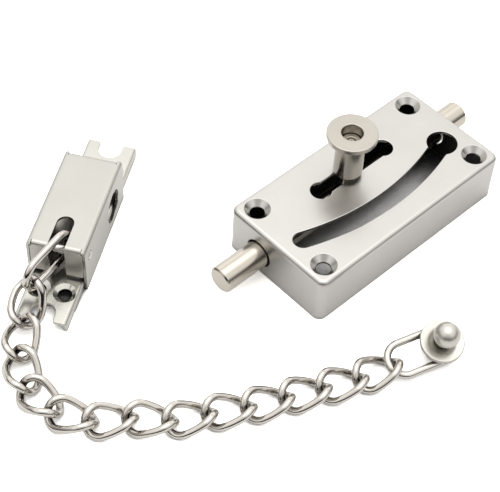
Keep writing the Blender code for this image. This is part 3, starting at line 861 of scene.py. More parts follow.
    def bolt_hole(self, sheet: SheetMesh, side: int, outer: list[Ring], inner: list[Ring]) -> None:
        """Fills one end wall round the bolt's hole.

        Args:
            sheet: The mesh to add to.
            side: Minus or plus one, for the left and the right end.
            outer: The rings above and below the outer wall.
            inner: The same for the inner wall.
        """
        line = self.bolt_line
        radius = (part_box("bolt_rod")[1].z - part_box("bolt_rod")[0].z) / 2 + self.bolt_clearance
        face = self.high.x if side > 0 else self.low.x
        loop = circle((line.y, line.z), radius, 64)
        section = plain_rim(self.wall, self.cut_edge, self.inner_edge, 4)
        rings = sheet.edge(
            [[Vector((face + side * z, y, h)) for y, h in inset(loop, into)] for into, z in section]
        )
        for pair, hole in ((outer, rings[0]), (inner, rings[-1])):
            corners = []
            for ring in pair:
                ends = [v for v in ring if (v.co.x - self.centre.x) * side > 0]
                deepest = max(abs(v.co.x) for v in ends)
                flat = [v for v in ends if abs(v.co.x) > deepest - 1e-6]
                corners.append(sorted(flat, key=lambda v: v.co.y))
            quad = [corners[0][0], corners[0][-1], corners[1][-1], corners[1][0]]
            sheet.fill([quad, hole], lambda p: (p.y, p.z))


# ---------------------------------------------------------------------------------------------------------
# Bolt and knob
# ---------------------------------------------------------------------------------------------------------


@dataclass
class BoltAndKnob:
    """The round bolt, and the sprung knob on its stud."""

    chamfer: float = 0.55 * MM
    collar_height: float = 1.2 * MM
    collar_radius: float = 3.15 * MM
    barrel_radius: float = 4.65 * MM
    flange_height: float = 1.75 * MM
    bore_radius: float = 3.55 * MM
    floor: float = 2.8 * MM
    shank_radius: float = 1.9 * MM
    head_height: float = 2.2 * MM
    shank_gap: float = 0.3 * MM
    wire: float = 0.4 * MM
    turns: float = 5.5
    rod_round: float = 0.35 * MM
    bore_lip: float = 0.3 * MM
    bore_lip_depth: float = 0.45 * MM
    knob_round: float = 0.28 * MM
    drive: float = 0.9 * MM
    stud_round: float = 0.25 * MM

    def axis(self, node: str) -> Vector:
        """Returns the point under a turned node on the table, on its upright axis."""
        low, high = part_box(node)
        return Vector(((low.x + high.x) / 2, (low.y + high.y) / 2, 0))

    def rod(self) -> Piece:
        """Builds the bolt."""
        low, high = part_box("bolt_rod")
        middle = (low + high) / 2
        radius = (high.z - low.z) / 2
        half = (high.x - low.x) / 2
        cut = self.chamfer
        end = [(0, half), (radius - cut, half), (radius, half - cut)]
        section = [*end, *((x, -z) for x, z in reversed(end))]
        place = Matrix.Translation(middle) @ Matrix.Rotation(math.pi / 2, 4, "Y")
        made = turned("bolt_rod_turned", soft_profile(section, self.rod_round), place)
        return Piece(made, "bolt", "bolt_rod", ROD_POLISH).dress(middle, place.to_3x3().to_4x4())

    def sleeve(self) -> Piece:
        """Builds the knob's sleeve, with its flange and its bore.

        Returns:
            The dressed sleeve.
        """
        low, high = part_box("knob_sleeve")
        foot, top = low.z, high.z
        flange = top - self.flange_height
        outer = (high.x - low.x) / 2
        hole = self.shank_radius + self.shank_gap
        section = [
            (hole, foot),
            (hole, foot + self.floor),
            (self.bore_radius - self.bore_lip, foot + self.floor),
            (self.bore_radius - self.bore_lip, top - self.bore_lip_depth),
            (self.bore_radius, top),
            (outer, top),
            (outer, flange),
            (self.barrel_radius, flange),
            (self.barrel_radius, foot + self.collar_height),
            (self.collar_radius, foot + self.collar_height),
            (self.collar_radius, foot),
        ]
        wrapped = [((hole + self.collar_radius) / 2, foot), *section, ((hole + self.collar_radius) / 2, foot)]
        profile = soft_profile(wrapped, self.knob_round, 5)[:-1]
        axis = self.axis("knob_sleeve")
        made = turned("knob_sleeve_turned", profile, Matrix.Translation(axis), closed=True)
        return Piece(made, "knob", "knob_sleeve", KNOB_POLISH).dress(axis)

    def stud(self) -> Piece:
        """Builds the stud, with a hollow drive in its head.

        Returns:
            The dressed stud.
        """
        low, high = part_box("knob_stud")
        head = (high.x - low.x) / 2
        shoulder = high.z - self.head_height
        drive = self.drive
        section = [
            (0, high.z - drive),
            (head * 0.42, high.z - drive),
            (head * 0.5, high.z),
            (head, high.z),
            (head, shoulder),
            (self.shank_radius, shoulder),
            (self.shank_radius, low.z),
            (0, low.z),
        ]
        axis = self.axis("knob_stud")
        made = turned("knob_stud_turned", soft_profile(section, self.stud_round), Matrix.Translation(axis))
        return Piece(made, "bolt", "knob_stud", STUD_TURNED).dress(axis)

    def spring(self) -> Piece:
        """Builds the coil spring under the stud's head."""
        low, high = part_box("knob_spring")
        axis = self.axis("knob_stud")
        coil = CoilTree(
            turns=self.turns,
            radius=(self.shank_radius + self.bore_radius) / 2,
            height=high.z - low.z - 2 * self.wire,
            wire=self.wire,
        ).mesh("knob_spring_coil", Matrix.Translation((axis.x, axis.y, low.z + self.wire)))
        return Piece(coil, "bolt", "knob_spring", SPRING_WIRE).dress(axis)


# ---------------------------------------------------------------------------------------------------------
# Geometry Nodes: wire links and coils
# ---------------------------------------------------------------------------------------------------------


class WireTree(Nodes):
    """A Geometry Nodes tree that sweeps round wire along a line, with named sizes."""

    def __init__(self, name: str) -> None:
        """Starts a tree with an output.

        Args:
            name: The tree's name.
        """
        super().__init__(bpy.data.node_groups.new(name, "GeometryNodeTree"))
        self.tree.is_modifier = True
        self.tree.interface.new_socket("Wire", in_out="OUTPUT", socket_type="NodeSocketGeometry")
        self.sockets: dict[str, str] = {}

    def size(self, name: str, value: float) -> None:
        """Adds a named number to the tree's inputs."""
        made = self.tree.interface.new_socket(name, in_out="INPUT", socket_type="NodeSocketFloat")
        made.default_value = value
        self.sockets[name] = made.identifier

    def start(self) -> bpy.types.Node:
        """Adds the input node, once all the sizes are named."""
        return self.node("NodeGroupInput")

    def sweep(self, line: bpy.types.NodeSocket, radius: bpy.types.NodeSocket, sides: int) -> None:
        """Sweeps a round section along the line, sets it smooth and ends the tree.

        Args:
            line: The curve to follow.
            radius: The wire's radius.
            sides: Sides of the section.
        """
        section = self.node("GeometryNodeCurvePrimitiveCircle", mode="RADIUS")
        section.inputs["Resolution"].default_value = sides
        self.link(radius, section.inputs["Radius"])
        swept = self.node("GeometryNodeCurveToMesh")
        self.link(line, swept.inputs["Curve"])
        self.link(section.outputs[0], swept.inputs["Profile Curve"])
        swept.inputs["Fill Caps"].default_value = True
        smooth = self.node("GeometryNodeSetShadeSmooth")
        self.link(swept.outputs[0], smooth.inputs[0])
        real = self.node("GeometryNodeRealizeInstances")
        self.link(smooth.outputs[0], real.inputs[0])
        material = self.node("GeometryNodeSetMaterial")
        material.inputs["Material"].default_value = bare_metal()
        self.link(real.outputs[0], material.inputs[0])
        output = self.node("NodeGroupOutput")
        self.link(material.outputs[0], output.inputs[0])

    def mesh(self, name: str, sizes: dict[str, float], place: Matrix) -> bpy.types.Object:
        """Runs the tree and returns its result as a plain mesh.

        Args:
            name: The object's name.
            sizes: Values of the tree's named inputs.
            place: Puts the result in the model.

        Returns:
            The object, with its place in its mesh.
        """
        holder = in_scene(name + "_holder", bpy.data.meshes.new(name + "_holder"))
        modifier = holder.modifiers.new("wire", "NODES")
        modifier.node_group = self.tree
        for key, value in sizes.items():
            modifier[self.sockets[key]] = value
        bpy.context.view_layer.update()
        graph = bpy.context.evaluated_depsgraph_get()
        mesh = bpy.data.meshes.new_from_object(holder.evaluated_get(graph))
        holder.modifiers.clear()
        bpy.data.objects.remove(holder)
        mesh.name = name
        mesh.transform(place)
        return in_scene(name, mesh)


def bare_metal() -> bpy.types.Material:
    """Returns the plain material that a wire has before it is dressed."""
    return bpy.data.materials.get("bare_metal") or bpy.data.materials.new("bare_metal")


class LinkTree(WireTree):
    """A chain link: a long loop of wire, twisted about its length."""

    def __init__(self) -> None:
        """Builds the tree: a circle pulled apart into a link, resampled, twisted and swept."""
        super().__init__("wire_link")
        for name, value in (("Half Length", 7.25 * MM), ("Half Width", 4.6 * MM), ("Wire Radius", 1.2 * MM)):
            self.size(name, value)
        for name in ("Start Twist", "Middle Twist", "End Twist", "Middle"):
            self.size(name, 0.0)
        given = self.start().outputs
        loop = self.node("GeometryNodeCurvePrimitiveCircle", mode="RADIUS")
        loop.inputs["Resolution"].default_value = 96
        self.link(given["Half Width"], loop.inputs["Radius"])
        spread = self.pull_apart(loop.outputs[0], given)
        even = self.node("GeometryNodeResampleCurve")
        even.inputs["Count"].default_value = 168
        self.link(spread, even.inputs["Curve"])
        self.sweep(self.twist(even.outputs[0], given), given["Wire Radius"], 28)

    def pull_apart(self, line: bpy.types.NodeSocket, given: bpy.types.NodeOutputs) -> bpy.types.NodeSocket:
        """Moves the two halves of the circle apart to the link's length."""
        parts = self.node("ShaderNodeSeparateXYZ")
        self.link(self.node("GeometryNodeInputPosition").outputs[0], parts.inputs[0])
        straight = self.math("SUBTRACT", given["Half Length"], given["Half Width"])
        shift = self.math("MULTIPLY", self.math("SIGN", parts.outputs[0]), straight)
        offset = self.node("ShaderNodeCombineXYZ")
        self.link(shift, offset.inputs[0])
        moved = self.node("GeometryNodeSetPosition")
        self.link(line, moved.inputs["Geometry"])
        self.link(offset.outputs[0], moved.inputs["Offset"])
        return moved.outputs[0]

    def twist(self, line: bpy.types.NodeSocket, given: bpy.types.NodeOutputs) -> bpy.types.NodeSocket:
        """Turns each point about the link's length, by a twist that runs from start to middle to end.

        Args:
            line: The flat link.
            given: The tree's sizes.

        Returns:
            The twisted link.
        """
        parts = self.node("ShaderNodeSeparateXYZ")
        self.link(self.node("GeometryNodeInputPosition").outputs[0], parts.inputs[0])
        share = self.math("DIVIDE", parts.outputs[0], given["Half Length"])
        back = self.math("MAXIMUM", self.math("MULTIPLY", share, -1.0), 0.0)
        ahead = self.math("MAXIMUM", share, 0.0)
        level = given["Middle Twist"]
        from_start = self.math("MULTIPLY", back, self.math("SUBTRACT", given["Start Twist"], level))
        to_end = self.math("MULTIPLY", ahead, self.math("SUBTRACT", given["End Twist"], level))
        angle = self.math("ADD", level, self.math("ADD", from_start, to_end))
        height = self.math("MULTIPLY", parts.outputs[1], self.math("SINE", angle))
        width = self.math("MULTIPLY", parts.outputs[1], self.math("COSINE", angle))
        place = self.node("ShaderNodeCombineXYZ")
        self.link(self.math("ADD", parts.outputs[0], given["Middle"]), place.inputs[0])
        self.link(width, place.inputs[1])
        self.link(height, place.inputs[2])
        moved = self.node("GeometryNodeSetPosition")
        self.link(line, moved.inputs["Geometry"])
        self.link(place.outputs[0], moved.inputs["Position"])
        return moved.outputs[0]


@dataclass
class CoilTree:
    """A coil of round wire about its own Z axis."""

    turns: float
    radius: float
    height: float
    wire: float

    def mesh(self, name: str, place: Matrix) -> bpy.types.Object:
        """Builds the tree, runs it and returns the coil as a plain mesh.

        Args:
            name: The object's name.
            place: Puts the coil in the model.

        Returns:
            The object, with its place in its mesh.
        """
        tree = WireTree("wire_coil")
        sizes = {"Turns": self.turns, "Coil Radius": self.radius, "Height": self.height}
        sizes["Wire Radius"] = self.wire
        for key, value in sizes.items():
            tree.size(key, value)
        given = tree.start().outputs
        spiral = tree.node("GeometryNodeCurveSpiral")
        spiral.inputs["Resolution"].default_value = 32
        tree.link(given["Turns"], spiral.inputs["Rotations"])
        tree.link(given["Coil Radius"], spiral.inputs["Start Radius"])
        tree.link(given["Coil Radius"], spiral.inputs["End Radius"])
        tree.link(given["Height"], spiral.inputs["Height"])
        tree.sweep(spiral.outputs[0], given["Wire Radius"], 12)
        return tree.mesh(name, sizes, place)


# ---------------------------------------------------------------------------------------------------------
# Keeper
# ---------------------------------------------------------------------------------------------------------


@dataclass
class Bend:
    """A fold along one side of a flat sheet.

    Attributes:
        start: Where the fold starts, measured from the sheet's middle.
        radius: Outer radius of the fold.
    """

    start: float
    radius: float

    def place(self, reach: float, depth: float) -> Point:
        """Returns where a point lands.

        Args:
            reach: Distance from the sheet's middle, before folding.
            depth: Height over the outer face: zero on it and negative inside.

        Returns:
            Distance from the middle, and height over the sheet's top.
        """
        run = reach - self.start
        if run <= 0:
            return (reach, depth)
        arc_length = self.radius * math.pi / 2
        turn = min(run, arc_length) / self.radius
        size = self.radius + depth
        out = self.start + size * math.sin(turn)
        up = -self.radius + size * math.cos(turn)
        return (out, up - max(0.0, run - arc_length))

    def lines(self) -> list[float]:
        """Returns where the sheet is cut so that it can fold smoothly."""
        steps = 8
        arc_length = self.radius * math.pi / 2
        return [self.start - HOLD, *(self.start + arc_length * i / steps for i in range(steps + 1)),
                self.start + arc_length + HOLD]


def slice_mesh(bm: bmesh.types.BMesh, axis: int, places: Iterable[float]) -> None:
    """Cuts a mesh along lines across one axis, and leaves all of it."""
    for place in places:
        point = Vector((0, 0, 0))
        normal = Vector((0, 0, 0))
        point[axis] = place
        normal[axis] = 1.0
        parts = list(bm.verts) + list(bm.edges) + list(bm.faces)
        bmesh.ops.bisect_plane(bm, geom=parts, plane_co=point, plane_no=normal, dist=1e-7)


def flat_sheet(outline: tuple[Loop, Loop], holes: Iterable[tuple[Loop, Loop]]) -> SheetMesh:
    """Builds a flat sheet with its outer face at zero height.

    Args:
        outline: The outer loop, counterclockwise, and the section of its edge.
        holes: The same for each hole, clockwise.

    Returns:
        The mesh.
    """
    sheet = SheetMesh()
    tops: list[Ring] = []
    bottoms: list[Ring] = []
    for loop, section in (outline, *holes):
        rings = sheet.edge([[Vector((x, y, z)) for x, y in inset(loop, into)] for into, z in section])
        tops.append(rings[0])
        bottoms.append(rings[-1])
    sheet.fill(tops, lambda p: (p.x, p.y))
    sheet.fill(bottoms, lambda p: (p.x, p.y))
    return sheet


@dataclass
class Keeper:
    """The keeper: a folded cover on a channel base, with its pin."""

    turn: float = math.radians(-56.4)
    place: Vector = field(default_factory=lambda: Vector((-89.7 * MM, 63.3 * MM, 0)))
    width: float = 18.8 * MM
    length: float = 38.6 * MM
    height: float = 17.2 * MM
    wall: float = 1.0 * MM
    fold: float = 1.5 * MM
    flap_half: float = 7.78 * MM
    flap_wide: float = 8.28 * MM
    slit: float = 0.1 * MM
    flap_foot: float = 5.0 * MM
    slot_half: float = 2.65 * MM
    slot_reach: float = 10.0 * MM
    bolt_y: float = 27.8 * MM
    bolt_z: float = 7.8 * MM
    bolt_hole: float = 5.45 * MM
    pin_hole: float = 1.6 * MM
    pin_head: float = 1.42 * MM
    pin_proud: float = 0.38 * MM
    pin_dome: float = 0.45 * MM
    base_half: float = 8.25 * MM
    base_top: float = 3.8 * MM
    base_wall: float = 1.1 * MM
    base_fold: float = 1.3 * MM
    base_front: float = 17.1 * MM
    base_back: float = 57.1 * MM
    notch: float = 3.8 * MM
    notch_depth: float = 6.4 * MM
    screw_x: float = 4.1 * MM
    screw_reach: float = 5.9 * MM
    corner: float = 0.5 * MM
    prong_corner: float = 0.9 * MM
    cut_edge: float = 0.14 * MM
    base_edge: float = 0.16 * MM
    inner_edge: float = 0.08 * MM
    sink_flat: float = 0.25 * MM
    sink_round: float = 0.2 * MM
    screw_outer: float = 3.6 * MM
    screw_hole: float = 2.2 * MM

    @property
    def frame(self) -> Matrix:
        """The keeper's own axes in the model."""
        return Matrix.Translation(self.place) @ Matrix.Rotation(self.turn, 4, "Z")

    def cover_outline(self, side: Bend, end: Bend) -> Loop:
        """Draws the cover's flat blank: a cross with its front arm slotted.

        Args:
            side: The folds along the sides.
            end: The folds at the ends.

        Returns:
            The blank, counterclockwise.
        """
        side_foot = side.start + side.radius * (math.pi / 2 - 1) + self.height
        end_run = end.radius * (math.pi / 2 - 1) + self.height - self.flap_foot
        low = end.radius - end_run
        high = self.length - low
        flap, strip = self.flap_half, self.flap_half + self.slit
        wide, turn = self.flap_wide, end.radius * (1 - math.pi / 2) - 0.05 * MM
        relief = end.radius + HOLD
        corner = 0.6 * MM
        slot = [(-self.slot_half, low), (-self.slot_half, self.slot_reach)]
        slot += arc((0, self.slot_reach), self.slot_half, 180, 0, 20)[1:-1]
        slot += [(self.slot_half, self.slot_reach), (self.slot_half, low)]
        front = [(-wide, low), *slot, (wide, low)]
        front_radii = [corner, corner * 0.7, *([0.0] * (len(slot) - 2)), corner * 0.7, corner]
        near = [(wide, turn), (flap, turn), (flap, relief), (strip, relief), (strip, 0), (side_foot, 0)]
        right = [*near, *((x, self.length - y) for x, y in reversed(near))]
        right_radii = [0, 0, 0, 0, 0, self.corner, self.corner, 0, 0, 0, 0, 0]
        left = [(-x, y) for x, y in reversed(right)]
        points = [*front, *right, (wide, high), (-wide, high), *left]
        radii = [*front_radii, *right_radii, corner, corner, *reversed(right_radii)]
        return round_corners(points, radii, 4)

    def cover(self) -> Piece:
        """Builds the folded cover.

        Returns:
            The dressed cover.
        """
        side = Bend(self.width / 2 - self.fold, self.fold)
        end = Bend(self.length / 2 - self.fold, self.fold)
        rim = plain_rim(self.wall, self.cut_edge, self.inner_edge)
        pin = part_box("keeper_pin")
        pin_z = (pin[0].z + pin[1].z) / 2
        pin_y = (self.frame.inverted() @ ((pin[0] + pin[1]) / 2)).y
        holes = []
        for way in (-1, 1):
            flat = side.start + side.radius * (math.pi / 2 - 1) + self.height
            holes.append((circle((way * (flat - self.bolt_z), self.bolt_y), self.bolt_hole, 72), rim))
            holes.append((circle((way * (flat - pin_z), pin_y), self.pin_hole, 32), rim))
        sheet = flat_sheet((self.cover_outline(side, end), rim), holes)
        across = [way * place for place in side.lines() for way in (-1, 1)]
        slice_mesh(sheet.bm, 0, across)
        middle = self.length / 2
        slice_mesh(sheet.bm, 1, [middle + way * place for place in end.lines() for way in (-1, 1)])
        border = self.flap_half + self.slit / 2
        for vert in sheet.bm.verts:
            x, y, depth = vert.co
            if abs(x) > border and abs(y - middle) <= middle + 0.01 * MM:
                out, up = side.place(abs(x), depth)
                x = math.copysign(out, x)
            else:
                out, up = end.place(abs(y - middle), depth)
                y = middle + math.copysign(out, y - middle)
            vert.co = self.frame @ Vector((x, y, self.height + up))
        made = sheet.finish("keeper_cover_folded", 50.0)
        return Piece(made, "keeper", "keeper_cover", KEEPER_SATIN).dress(self.place, self.grain())

    def grain(self) -> Matrix:
        """Returns the turn that lays the brushed marks along the keeper."""
        return Matrix.Rotation(self.turn + math.pi / 2, 4, "Z")

    def base_outline(self, side: Bend) -> Loop:
        """Draws the base's flat blank, with a notch in each end.

        Args:
            side: The folds along the sides.

        Returns:
            The blank, counterclockwise.
        """
        foot = side.start + side.radius * (math.pi / 2 - 1) + self.base_top
        low, high = -self.base_front, self.base_back
        points: Loop = []
        radii: list[float] = []
        for end, way in ((low, 1), (high, -1)):
            floor = end + way * (self.notch_depth - self.notch)
            round_part = arc((0, floor), self.notch, 180 if way > 0 else 0, 0 if way > 0 else -180, 24)
            first = -way
            notch = [(first * self.notch, end), *round_part, (-first * self.notch, end)]
            points += [(first * foot, end), *notch, (-first * foot, end)]
            radii += [self.prong_corner] * 2 + [0.0] * len(round_part) + [self.prong_corner] * 2
        return round_corners(points, radii, 5)

    def base(self) -> Piece:
        """Builds the folded channel with its countersunk holes.

        Returns:
            The dressed base.
        """
        side = Bend(self.base_half - self.base_fold, self.base_fold)
        rim = plain_rim(self.base_wall, self.base_edge, self.inner_edge)
        reach = self.screw_outer - self.screw_hole
        sink = [
            (reach + self.sink_flat, 0.0),
            (reach, 0.0),
            (0.0, -self.base_wall * 0.8),
            (0.0, -self.base_wall),
            (0.3 * MM, -self.base_wall),
        ]
        sink = soft_profile(sink, self.sink_round, 4)
        ends = (-self.screw_reach, self.length + self.screw_reach)
        screws = [(way * self.screw_x, y) for y in ends for way in (-1, 1)]
        holes = [(circle(screw, self.screw_hole, 56), sink) for screw in screws]
        sheet = flat_sheet((self.base_outline(side), rim), holes)
        slice_mesh(sheet.bm, 0, [way * place for place in side.lines() for way in (-1, 1)])
        for vert in sheet.bm.verts:
            x, y, depth = vert.co
            out, up = side.place(abs(x), depth)
            vert.co = self.frame @ Vector((math.copysign(out, x), y, self.base_top + up))
        made = sheet.finish("keeper_base_folded", 50.0)
        return Piece(made, "keeper", "keeper_base", BASE_SATIN).dress(self.place, self.grain())

    def pin(self) -> Piece:
        """Builds the pin with its two peened heads."""
        low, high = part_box("keeper_pin")
        middle = (low + high) / 2
        half = self.width / 2 + self.pin_proud
        seat = half - self.pin_dome
        dome = [(self.pin_head * x, seat + self.pin_dome * y) for x, y in arc((0, 0), 1.0, 90, 0, 10)]
        section = [*dome[1:], (self.pin_head, 0)]
        section = [(0, half), *section, *[(x, -y) for x, y in reversed(section[:-1])], (0, -half)]
        across = Matrix.Rotation(self.turn, 4, "Z") @ Matrix.Rotation(math.pi / 2, 4, "Y")
        place = Matrix.Translation(middle) @ across
        made = turned("keeper_pin_peened", section, place)
        return Piece(made, "keeper", "keeper_pin", PIN_TURNED).dress(middle, place.to_3x3().to_4x4())


# ---------------------------------------------------------------------------------------------------------
# Chain
# ---------------------------------------------------------------------------------------------------------


@dataclass
class Chain:
    """The links, from the one round the keeper pin to the one that carries the button."""

    wire: float = 1.2 * MM
    half_length: float = 7.25 * MM
    half_width: float = 4.6 * MM
    pitch: float = 11.45 * MM
    twist: float = math.radians(50)
    keeper_half: Point = (10.5 * MM, 5.1 * MM)
    keeper_middle: float = 6.8 * MM
    keeper_yaw: float = math.radians(19)
    keeper_origin: Vector = field(default_factory=lambda: Vector((0.45 * MM, 4.2 * MM, 13.2 * MM)))
    end_half: Point = (11.3 * MM, 5.1 * MM)
    tree: LinkTree = field(default_factory=LinkTree)

    def joints(self) -> list[tuple[str, Vector]]:
        """Returns each link's body and where it hangs, from the first curb link to the button."""
        found = []
        for record in frame["joints"]:
            if record["name"].endswith("_turn"):
                found.append((record["child"], Vector(record["pos_m"])))
        return found

    @staticmethod
    def lie_along(start: Vector, way: Vector) -> Matrix:
        """Returns a place at start, with X along way and Y level."""
        along = way.normalized()
        side = Vector((0, 0, 1)).cross(along).normalized()
        up = along.cross(side)
        return Matrix.Translation(start) @ Matrix((along, side, up)).transposed().to_4x4()

    def dress(self, obj: bpy.types.Object, body: str, node: str, place: Matrix) -> Piece:
        """Gives one link its finish and its body."""
        return Piece(obj, body, node, CHAIN_NICKEL).dress(place.translation, place.to_3x3().to_4x4())

    def keeper_link(self, keeper: Keeper) -> Piece:
        """Builds the long link that stands on edge round the pin.

        Args:
            keeper: The keeper that it hangs in.

        Returns:
            The dressed link.
        """
        way = Vector((-math.sin(self.keeper_yaw), -math.cos(self.keeper_yaw), 0))
        up = Vector((0, 0, 1))
        turn = Matrix((way, up, way.cross(up))).transposed().to_4x4()
        place = keeper.frame @ Matrix.Translation(self.keeper_origin) @ turn
        sizes = {
            "Half Length": self.keeper_half[0],
            "Half Width": self.keeper_half[1],
            "Wire Radius": self.wire,
            "Middle": self.keeper_middle,
        }
        made = self.tree.mesh("keeper_link_wire", sizes, place)
        return self.dress(made, "keeper_link", "keeper_link", place)

    def links(self) -> list[Piece]:
        """Builds the curb links.

        Returns:
            The dressed links, from the keeper on.
        """
        sizes = {
            "Half Length": self.half_length,
            "Half Width": self.half_width,
            "Wire Radius": self.wire,
            "Start Twist": self.twist,
            "End Twist": -self.twist,
            "Middle": self.pitch / 2,
        }
        found = self.joints()
        made = []
        for (body, here), (_, ahead) in zip(found[:-2], found[1:-1]):
            last = body == found[-3][0]
            place = self.lie_along(here, Vector((ahead.x, ahead.y, here.z if last else ahead.z)) - here)
            made.append(self.dress(self.tree.mesh(body + "_wire", sizes, place), body, body, place))
        return made

    def end_link(self, button: "Button") -> Piece:
        """Builds the long link that carries the button, square to the button's axis.

        Args:
            button: The button that hangs in it.

        Returns:
            The dressed link.
        """
        start = Vector(joint("end_link_turn")["pos_m"])
        along = (button.place @ Vector((0, 0, button.seat)) - start).normalized()
        up = button.place.to_3x3() @ Vector((0, 0, 1))
        place = Matrix.Translation(start) @ Matrix((along, up.cross(along), up)).transposed().to_4x4()
        sizes = {
            "Half Length": self.end_half[0],
            "Half Width": self.end_half[1],
            "Wire Radius": self.wire,
            "Middle": self.end_half[0] - self.half_length + self.pitch / 2,
        }
        return self.dress(self.tree.mesh("end_link_wire", sizes, place), "end_link", "end_link", place)


@dataclass
class Button:
    """The turned button and the washer that it is riveted over."""

    seat: float = 2.6 * MM
    link_wire: float = 1.2 * MM
    gap: float = 0.3 * MM
    rivet: float = 1.9 * MM
    shank: float = 3.2 * MM
    flange: float = 6.85 * MM
    flange_height: float = 1.5 * MM
    dish: float = 4.75 * MM
    dish_depth: float = 1.15 * MM
    neck: float = 2.3 * MM
    ball: float = 3.95 * MM
    ball_lift: float = 4.8 * MM
    washer: float = 4.8 * MM
    washer_height: float = 1.1 * MM
    washer_round: float = 0.2 * MM
    edge_round: float = 0.4 * MM

    @property
    def place(self) -> Matrix:
        """The middle of the washer's underside, with Z along the button's axis."""
        record = joint("button_turn")
        turn = Vector((0, 0, 1)).rotation_difference(Vector(record["axis"]))
        return Matrix.Translation(record["pos_m"]) @ turn.to_matrix().to_4x4()

    def bowl(self, rim: float) -> Loop:
        """Returns the section of the dish, from its edge down to the neck."""
        steps = 10
        run = self.dish - self.neck
        turns = [math.pi / 2 * i / steps for i in range(1, steps + 1)]
        fall = [self.dish_depth * (1 - math.cos(t)) ** 0.7 for t in turns]
        return [(self.dish - run * math.sin(t), rim - drop) for t, drop in zip(turns, fall)]

    def build(self) -> list[Piece]:
        """Builds the button and its washer.

        Returns:
            Both, dressed.
        """
        low = self.gap
        over_washer = self.washer_height + self.gap
        flange = self.seat + self.link_wire + self.gap
        rim = flange + self.flange_height
        centre = rim + self.ball_lift
        neck_turn = math.degrees(math.acos(self.neck / self.ball))
        section = [(0, low), (self.rivet, low), (self.rivet, over_washer), (self.shank, over_washer)]
        section += [(self.shank, flange), (self.flange, flange), (self.flange, rim), (self.dish, rim)]
        body = soft_profile([*section, self.bowl(rim)[0]], self.edge_round, 5)[:-1]
        ball = arc((0, centre), self.ball, -neck_turn, 90, 36)[:-1]
        section = [*body, *self.bowl(rim), *ball, (0, centre + self.ball)]
        made = turned("chain_button_turned", section, self.place)
        turn = self.place.to_3x3().to_4x4()
        button = Piece(made, "button", "chain_button", BUTTON_POLISH).dress(self.place.translation, turn)
        hole = self.rivet + self.gap
        middle = (hole + self.washer) / 2
        top = self.washer_height
        ring = [(middle, 0), (hole, 0), (hole, top), (self.washer, top), (self.washer, 0), (middle, 0)]
        disc_section = soft_profile(ring, self.washer_round)[:-1]
        disc = turned("button_washer_disc", disc_section, self.place, closed=True)
        washer = Piece(disc, "button", "button_washer", WASHER_SATIN).dress(self.place.translation, turn)
        return [button, washer]


# ---------------------------------------------------------------------------------------------------------
# Studio
# ---------------------------------------------------------------------------------------------------------


@dataclass
class Studio:
    """The camera, the pale table, the soft light and the surroundings."""

    eye: Vector = field(default_factory=lambda: Vector((-0.2419, -0.1671, 0.3559)))
    azimuth: float = math.radians(45.59)
    elevation: float = math.radians(50.92)
    roll: float = math.radians(3.38)
    lens: float = 104.47
    table_half: float = 3.0
    table_drop: float = 0.03 * MM

    def camera(self) -> None:
        """Adds the camera."""
        data = bpy.data.cameras.new("camera")
        data.lens = self.lens
        data.sensor_width = 36.0
        data.clip_start = 0.01
        data.clip_end = 20.0
        camera = bpy.data.objects.new("camera", data)
        bpy.context.scene.collection.objects.link(camera)
        level = math.cos(self.elevation)
        east, north = math.sin(self.azimuth), math.cos(self.azimuth)
        ahead = Vector((east * level, north * level, -math.sin(self.elevation)))
        flat_right = Vector((north, -east, 0))
        flat_up = flat_right.cross(ahead)
        right = math.cos(self.roll) * flat_right + math.sin(self.roll) * flat_up
        up = math.cos(self.roll) * flat_up - math.sin(self.roll) * flat_right
        turn = Matrix((right, up, -ahead)).transposed().to_4x4()
        camera.matrix_world = Matrix.Translation(self.eye) @ turn
        bpy.context.scene.camera = camera

    def table(self) -> None:
        """Adds the table."""
        size, drop = self.table_half, self.table_drop
        mesh = bpy.data.meshes.new("table")
        corners = [(-size, -size, -drop), (size, -size, -drop), (size, size, -drop), (-size, size, -drop)]
        mesh.from_pydata([Vector(corner) for corner in corners], [], [(0, 1, 2, 3)])
        table = in_scene("table", mesh)
        material = bpy.data.materials.new("table_white")
        material.use_nodes = True
        TableNodes(material.node_tree).build()
        mesh.materials.append(material)

    def surroundings(self) -> None:
        """Adds the soft room light: bright overhead and behind, dark on the near side."""
        world = bpy.data.worlds.new("studio")
        bpy.context.scene.world = world
        world.use_nodes = True
        tree = world.node_tree
        background = tree.nodes["Background"]
        way = tree.nodes.new("ShaderNodeTexCoord").outputs["Generated"]
        light = SkyMix(tree, way)
        light.add_gradient(low=0.16, high=0.6, dark=0.1, bright=1.28)
        light.add_patch((0.1, 0.1, 1.0), outer=36, inner=12, strength=1.3)
        for far in ((1.0, 0.15, 0.02), (0.7, 0.7, 0.02), (0.15, 1.0, 0.02)):
            light.add_patch(far, outer=42, inner=20, strength=0.6)
        light.add_patch((-0.66, -0.64, 0.4), outer=42, inner=16, strength=-0.6)
        tree.links.new(light.total(), background.inputs["Strength"])
        background.inputs["Color"].default_value = (1.0, 0.99, 0.97, 1)

    def build(self) -> None:
        """Builds all of it."""
        self.camera()
        self.table()
        self.surroundings()
        view = bpy.context.scene.view_settings
        view.view_transform = "Standard"
        view.look = "None"


